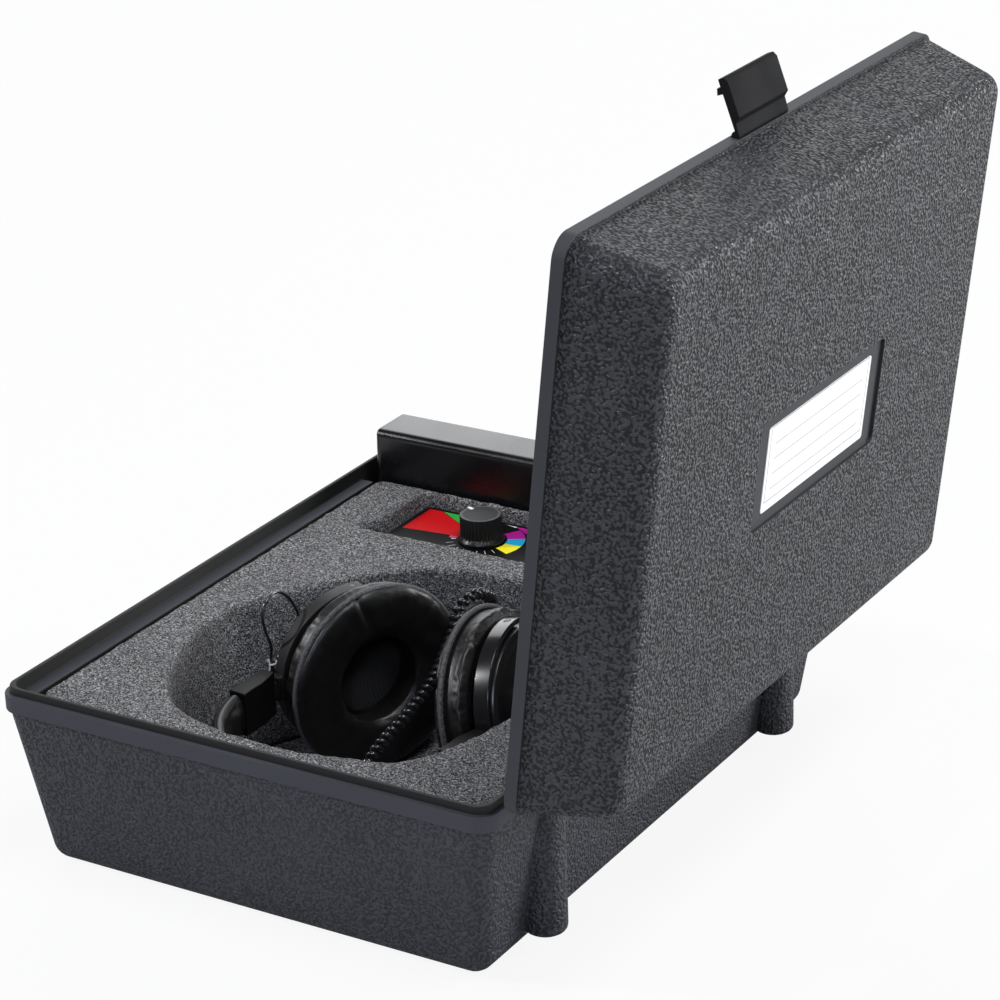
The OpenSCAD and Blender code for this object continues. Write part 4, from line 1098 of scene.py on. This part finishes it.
class TESTER_OT_headband(bpy.types.Operator):
    """Padded headband, creased over its stuffing and stitched along both edges"""

    bl_idname = "tester.headband"
    bl_label = "Headband pad"

    def execute(self, context):
        section, half_w, flat, crown = 36, 10.8 * MM, 0.75 * MM, 3.75 * MM
        reach = math.pi / 2 - math.asin(8.6 * MM / BAND_R)
        arc = new_primitive(
            bpy.ops.mesh.primitive_circle_add, "headband_pad_stuffed", vertices=section,
            radius=1.0, fill_type="NOTHING", rotation=(math.pi / 2, 0, 0))
        place_in_mesh(arc)
        co = points_of(arc)
        angle = np.arctan2(co[:, 2], co[:, 0])
        across = np.sign(np.sin(angle)) * np.abs(np.sin(angle)) ** 0.75
        thick = flat + crown * np.clip(1 - np.abs(across) ** 5, 0, 1) ** 0.6
        co = np.column_stack([
            BAND_R + thick * np.sign(np.cos(angle)) * np.abs(np.cos(angle)) ** 0.4,
            np.zeros(section), across * half_w])
        turn = np.array(Matrix.Rotation(-reach, 3, "Z"))
        set_points(arc, co @ turn.T)
        pick(arc, "VERT")
        bpy.ops.mesh.spin(steps=96, angle=-2 * reach, center=(0, 0, 0), axis=(0, 0, 1))
        bpy.ops.mesh.select_all(action="SELECT")
        bpy.ops.mesh.remove_doubles(threshold=1e-6)
        bpy.ops.mesh.select_all(action="DESELECT")
        bpy.ops.mesh.select_non_manifold()
        bpy.ops.mesh.edge_face_add()
        bpy.ops.mesh.select_all(action="SELECT")
        bpy.ops.mesh.normals_make_consistent(inside=False)
        done_editing()
        place = (
            Matrix.Rotation(math.radians(PHONES_TURN), 4, "Z")
            @ Matrix.Translation((*BAND_MIDDLE, BAND_Z))
        )
        local = points_of(arc)
        spin = np.arctan2(local[:, 1], local[:, 0])
        arc.data.transform(place)
        edge = np.abs(local[:, 2]) > half_w - 1.6 * MM
        ends = np.abs(spin) > reach - 0.02
        stuffed(arc, edge | ends, 0.9 * MM, sizes().fullness * 0.6)
        modify(arc, "SUBSURF", levels=1, render_levels=1)
        smooth_faces(arc, 80)
        finished(arc, "headband_pad", soft_vinyl(tuple(colours().vinyl)))
        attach(arc, "case")
        self.seams(place, reach, half_w)
        return {"FINISHED"}

    def seams(self, place, reach, half_w):
        """A row of stitches along each edge, outside and inside the band"""
        threads, turn, bare = [], place.to_3x3(), 0.05
        pitch, long, wide = 3.2 * MM, 2.3 * MM, 0.7 * MM
        count = round(2 * (reach - bare) * BAND_R / pitch)
        for up, out in ((-1, -1), (-1, 1), (1, -1), (1, 1)):
            for k in range(count):
                a = -reach + bare + 2 * (reach - bare) * (k + 0.5) / count
                way = Vector((math.cos(a), math.sin(a), 0))
                middle = way * (BAND_R + out * 1.75 * MM)
                middle.z = up * (half_w - 0.9 * MM)
                along = Vector((-math.sin(a), math.cos(a), 0))
                threads.append((place @ middle, turn @ along, turn @ (way * out)))
        made = stitches("headband_stitching", threads, long, wide)
        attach(trim(made, thread()), "case")


class TESTER_OT_cords(bpy.types.Operator):
    """Curly cord with its plug, and the thin tied lead between headband and cup"""

    bl_idname = "tester.cords"
    bl_label = "Cords"

    def execute(self, context):
        rubber = cord_rubber()
        plug = dressed("jack_plug", plug_finish(), 0.15)
        cup = cup_place("left")
        tip, way = cup @ RELIEF_END, cup.to_3x3() @ Vector((0, 1, 0))
        route = [tuple(tip / MM), tuple(tip / MM + 2 * way), *COIL_ROUTE]
        axis = smooth_route(route, 12)
        wire, axis = curled(axis, sizes().coil_pitch, COIL_TURN_R, 4 * MM, 5 * MM)
        split = int(np.flatnonzero(axis[:, 2] > COIL_SPLIT_Z)[0])
        upper = hose("curly_cord_upper", wire[: split + 1], COIL_WIRE_R)
        finished(upper, "curly_cord", rubber)
        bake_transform(upper)
        tail = evenly(smooth_route(TAIL_ROUTE, 10), 0.6 * MM)[0]
        line = np.concatenate([wire[split:], tail[1:]])
        lower = hose("curly_cord_lower", line, COIL_WIRE_R)
        finished(lower, "curly_cord", rubber, "cord_tail")
        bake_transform(lower)
        self.lead(rubber)
        return {"FINISHED"}

    def lead(self, rubber):
        """Lead from the band end through its tied loop to the left fork, in two pieces"""
        line = smooth_route(LEAD_ROUTE, 8)
        below = int(np.flatnonzero(line[:, 2] > LEAD_SPLIT_Z)[-1])
        upper = hose("cross_lead_loop", line[: below + 1], LEAD_R)
        finished(upper, "cross_lead", rubber)
        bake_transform(upper)
        end = trim(hose("cross_lead_end", line[below:], LEAD_R), rubber)
        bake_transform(end)
        tie = self.tie()

    def tie(self):
        """Paper-covered wire, twisted round the lead's two strands, with two flattened ends"""
        middle, turn_r = Vector((39.2, -68, 62.5)) * MM, 2.1
        turns = [
            middle + Vector((turn_r * math.cos(a), turn_r * math.sin(a), 0.25 * a - 0.8)) * MM
            for a in np.linspace(0, 2 * math.pi, 25)
        ]
        ring = hose("wire_tie_wrap", np.array(turns), 0.5 * MM)
        for side, way, long in (
            (-turn_r, Vector((-0.75, 0.42, 0.5)).normalized(), 8.5),
            (turn_r, Vector((0.174, 0, -0.985)), 7.0),
        ):
            begin = middle + Vector((side, 0, 0)) * MM
            line = np.array([
                begin + way * (long * MM * t) + Vector((0, 0.3 * MM * math.sin(5 * t), 0))
                for t in np.linspace(0, 1, 14)])
            strip = hose("tie_end", line, 0.55 * MM)
            co = points_of(strip)
            co[:, 1] = line[0][1] + (co[:, 1] - line[0][1]) * 0.6
            set_points(strip, co)
            only(ring, strip)
            bpy.ops.object.join()
        white = satin_plastic("tie paper", (0.8, 0.8, 0.78), 0.5, 0.3, 0.03)
        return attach(finished(ring, "wire_tie", white), "case")


class TESTER_OT_stage(bpy.types.Operator):
    """Pale floor, soft lights and the camera"""

    bl_idname = "tester.stage"
    bl_label = "Stage"

    def execute(self, context):
        self.camera()
        self.floor()
        self.lights()
        return {"FINISHED"}

    def camera(self):
        """Camera held a little tilted, looking down over the hinge side's corner"""
        place, ahead = Vector((1.2317, 0.8010, 0.7621)), Vector((-0.78338, -0.48525, -0.38839))
        roll, focal, sensor = math.radians(-1.902), 123.29, 36
        ahead.normalize()
        right = ahead.cross(Vector((0, 0, 1))).normalized()
        up = right.cross(ahead)
        right, up = (
            right * math.cos(roll) + up * math.sin(roll),
            up * math.cos(roll) - right * math.sin(roll),
        )
        camera = bpy.data.objects.new("camera", bpy.data.cameras.new("camera"))
        camera.data.lens, camera.data.sensor_width = focal, sensor
        camera.data.clip_start, camera.data.clip_end = 0.05, 50
        turn = Matrix((right, up, -ahead)).transposed()
        camera.matrix_world = Matrix.Translation(place) @ turn.to_4x4()
        bpy.context.scene.collection.objects.link(camera)
        bpy.context.scene.camera = camera

    def floor(self):
        """Pale matt floor, which the camera sees as nearly white"""
        floor = new_primitive(bpy.ops.mesh.primitive_plane_add, "floor", size=8,
                              location=(0, 0, -0.0002))
        place_in_mesh(floor)
        finish = Finish("pale floor")
        tone = tuple(colours().floor)
        drift = finish.noise(0.6, detail=2)
        finish.surface(finish.mix(drift, tone, tuple(0.98 * c for c in tone)), 0.8)
        lit = Signal(finish, finish.output.inputs["Surface"].links[0].from_socket)
        path = finish.node("ShaderNodeLightPath", out="Is Camera Ray")
        glow = finish.node("ShaderNodeEmission", values={"Color": (1, 1, 1), "Strength": 1.0})
        mixed = finish.node("ShaderNodeMixShader", values={0: path * 0.9, 1: lit, 2: glow})
        finish.tree.links.new(mixed.socket, finish.output.inputs["Surface"])
        wear(floor, finish.material)

    def lights(self):
        """Dim world that the camera sees as white, and six soft lamps aimed at the case"""
        dim, aim_at, cool, white = 0.08, Vector((0, 0.05, 0.12)), (0.74, 0.78, 1), (0.97, 0.98, 1)
        world = bpy.data.worlds.new("studio")
        bpy.context.scene.world = world
        world.use_nodes = True
        tree = world.node_tree
        back = tree.nodes["Background"]
        back.inputs["Color"].default_value = (1, 1, 1, 1)
        path = tree.nodes.new("ShaderNodeLightPath")
        seen = tree.nodes.new("ShaderNodeMath")
        seen.operation = "MULTIPLY_ADD"
        tree.links.new(path.outputs["Is Camera Ray"], seen.inputs[0])
        seen.inputs[1].default_value, seen.inputs[2].default_value = 1 - dim, dim
        tree.links.new(seen.outputs[0], back.inputs["Strength"])
        for name, place, size, power in (
            ("backdrop", (-2.4, -1.5, 1.5), 2.4, 50), ("overhead", (0.1, 0.9, 2.2), 0.7, 34),
            ("near side", (1.2, -2.0, 1.7), 0.25, 44), ("hinge side", (0.9, 2.3, 0.6), 0.8, 11),
            ("far side", (-2.2, 1.8, 0.8), 1.1, 75), ("camera side", (2.2, 0.7, 1.7), 0.5, 18),
        ):
            lamp = bpy.data.objects.new(name, bpy.data.lights.new(name, "AREA"))
            lamp.data.shape, lamp.data.size, lamp.data.energy = "SQUARE", size, power
            lamp.data.color = cool if name == "camera side" else white
            lamp.location = place
            lamp.rotation_mode = "QUATERNION"
            lamp.rotation_quaternion = (aim_at - Vector(place)).to_track_quat("-Z", "Y")
            bpy.context.scene.collection.objects.link(lamp)
        bpy.context.scene.view_settings.view_transform = "Standard"


STEPS = (
    TESTER_OT_stage, TESTER_OT_case_mouldings, TESTER_OT_handle, TESTER_OT_foam,
    TESTER_OT_control_unit, TESTER_OT_selector_knob, TESTER_OT_ear_cups, TESTER_OT_ear_pads,
    TESTER_OT_headband, TESTER_OT_cords,
)


class TESTER_PT_finish(bpy.types.Panel):
    """Sizes, colours and steps of the finish"""

    bl_idname = "TESTER_PT_finish"
    bl_label = "Listening tester"
    bl_space_type = "VIEW_3D"
    bl_region_type = "UI"
    bl_category = "Tester"

    def draw(self, context):
        for group in (context.scene.tester_sizes, context.scene.tester_colours):
            for name in group.__annotations__:
                self.layout.prop(group, name)
        for step in STEPS:
            self.layout.operator(step.bl_idname)


CLASSES = (TesterSizes, TesterColours, *STEPS, TESTER_PT_finish)


def register():
    for item in CLASSES:
        bpy.utils.register_class(item)
    bpy.types.Scene.tester_sizes = bpy.props.PointerProperty(type=TesterSizes)
    bpy.types.Scene.tester_colours = bpy.props.PointerProperty(type=TesterColours)


def unregister():
    del bpy.types.Scene.tester_colours
    del bpy.types.Scene.tester_sizes
    for item in reversed(CLASSES):
        bpy.utils.unregister_class(item)


def main():
    register()
    for step in STEPS:
        group, name = step.bl_idname.split(".")
        getattr(getattr(bpy.ops, group), name)()
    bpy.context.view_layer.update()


if __name__ == "__main__":
    main()
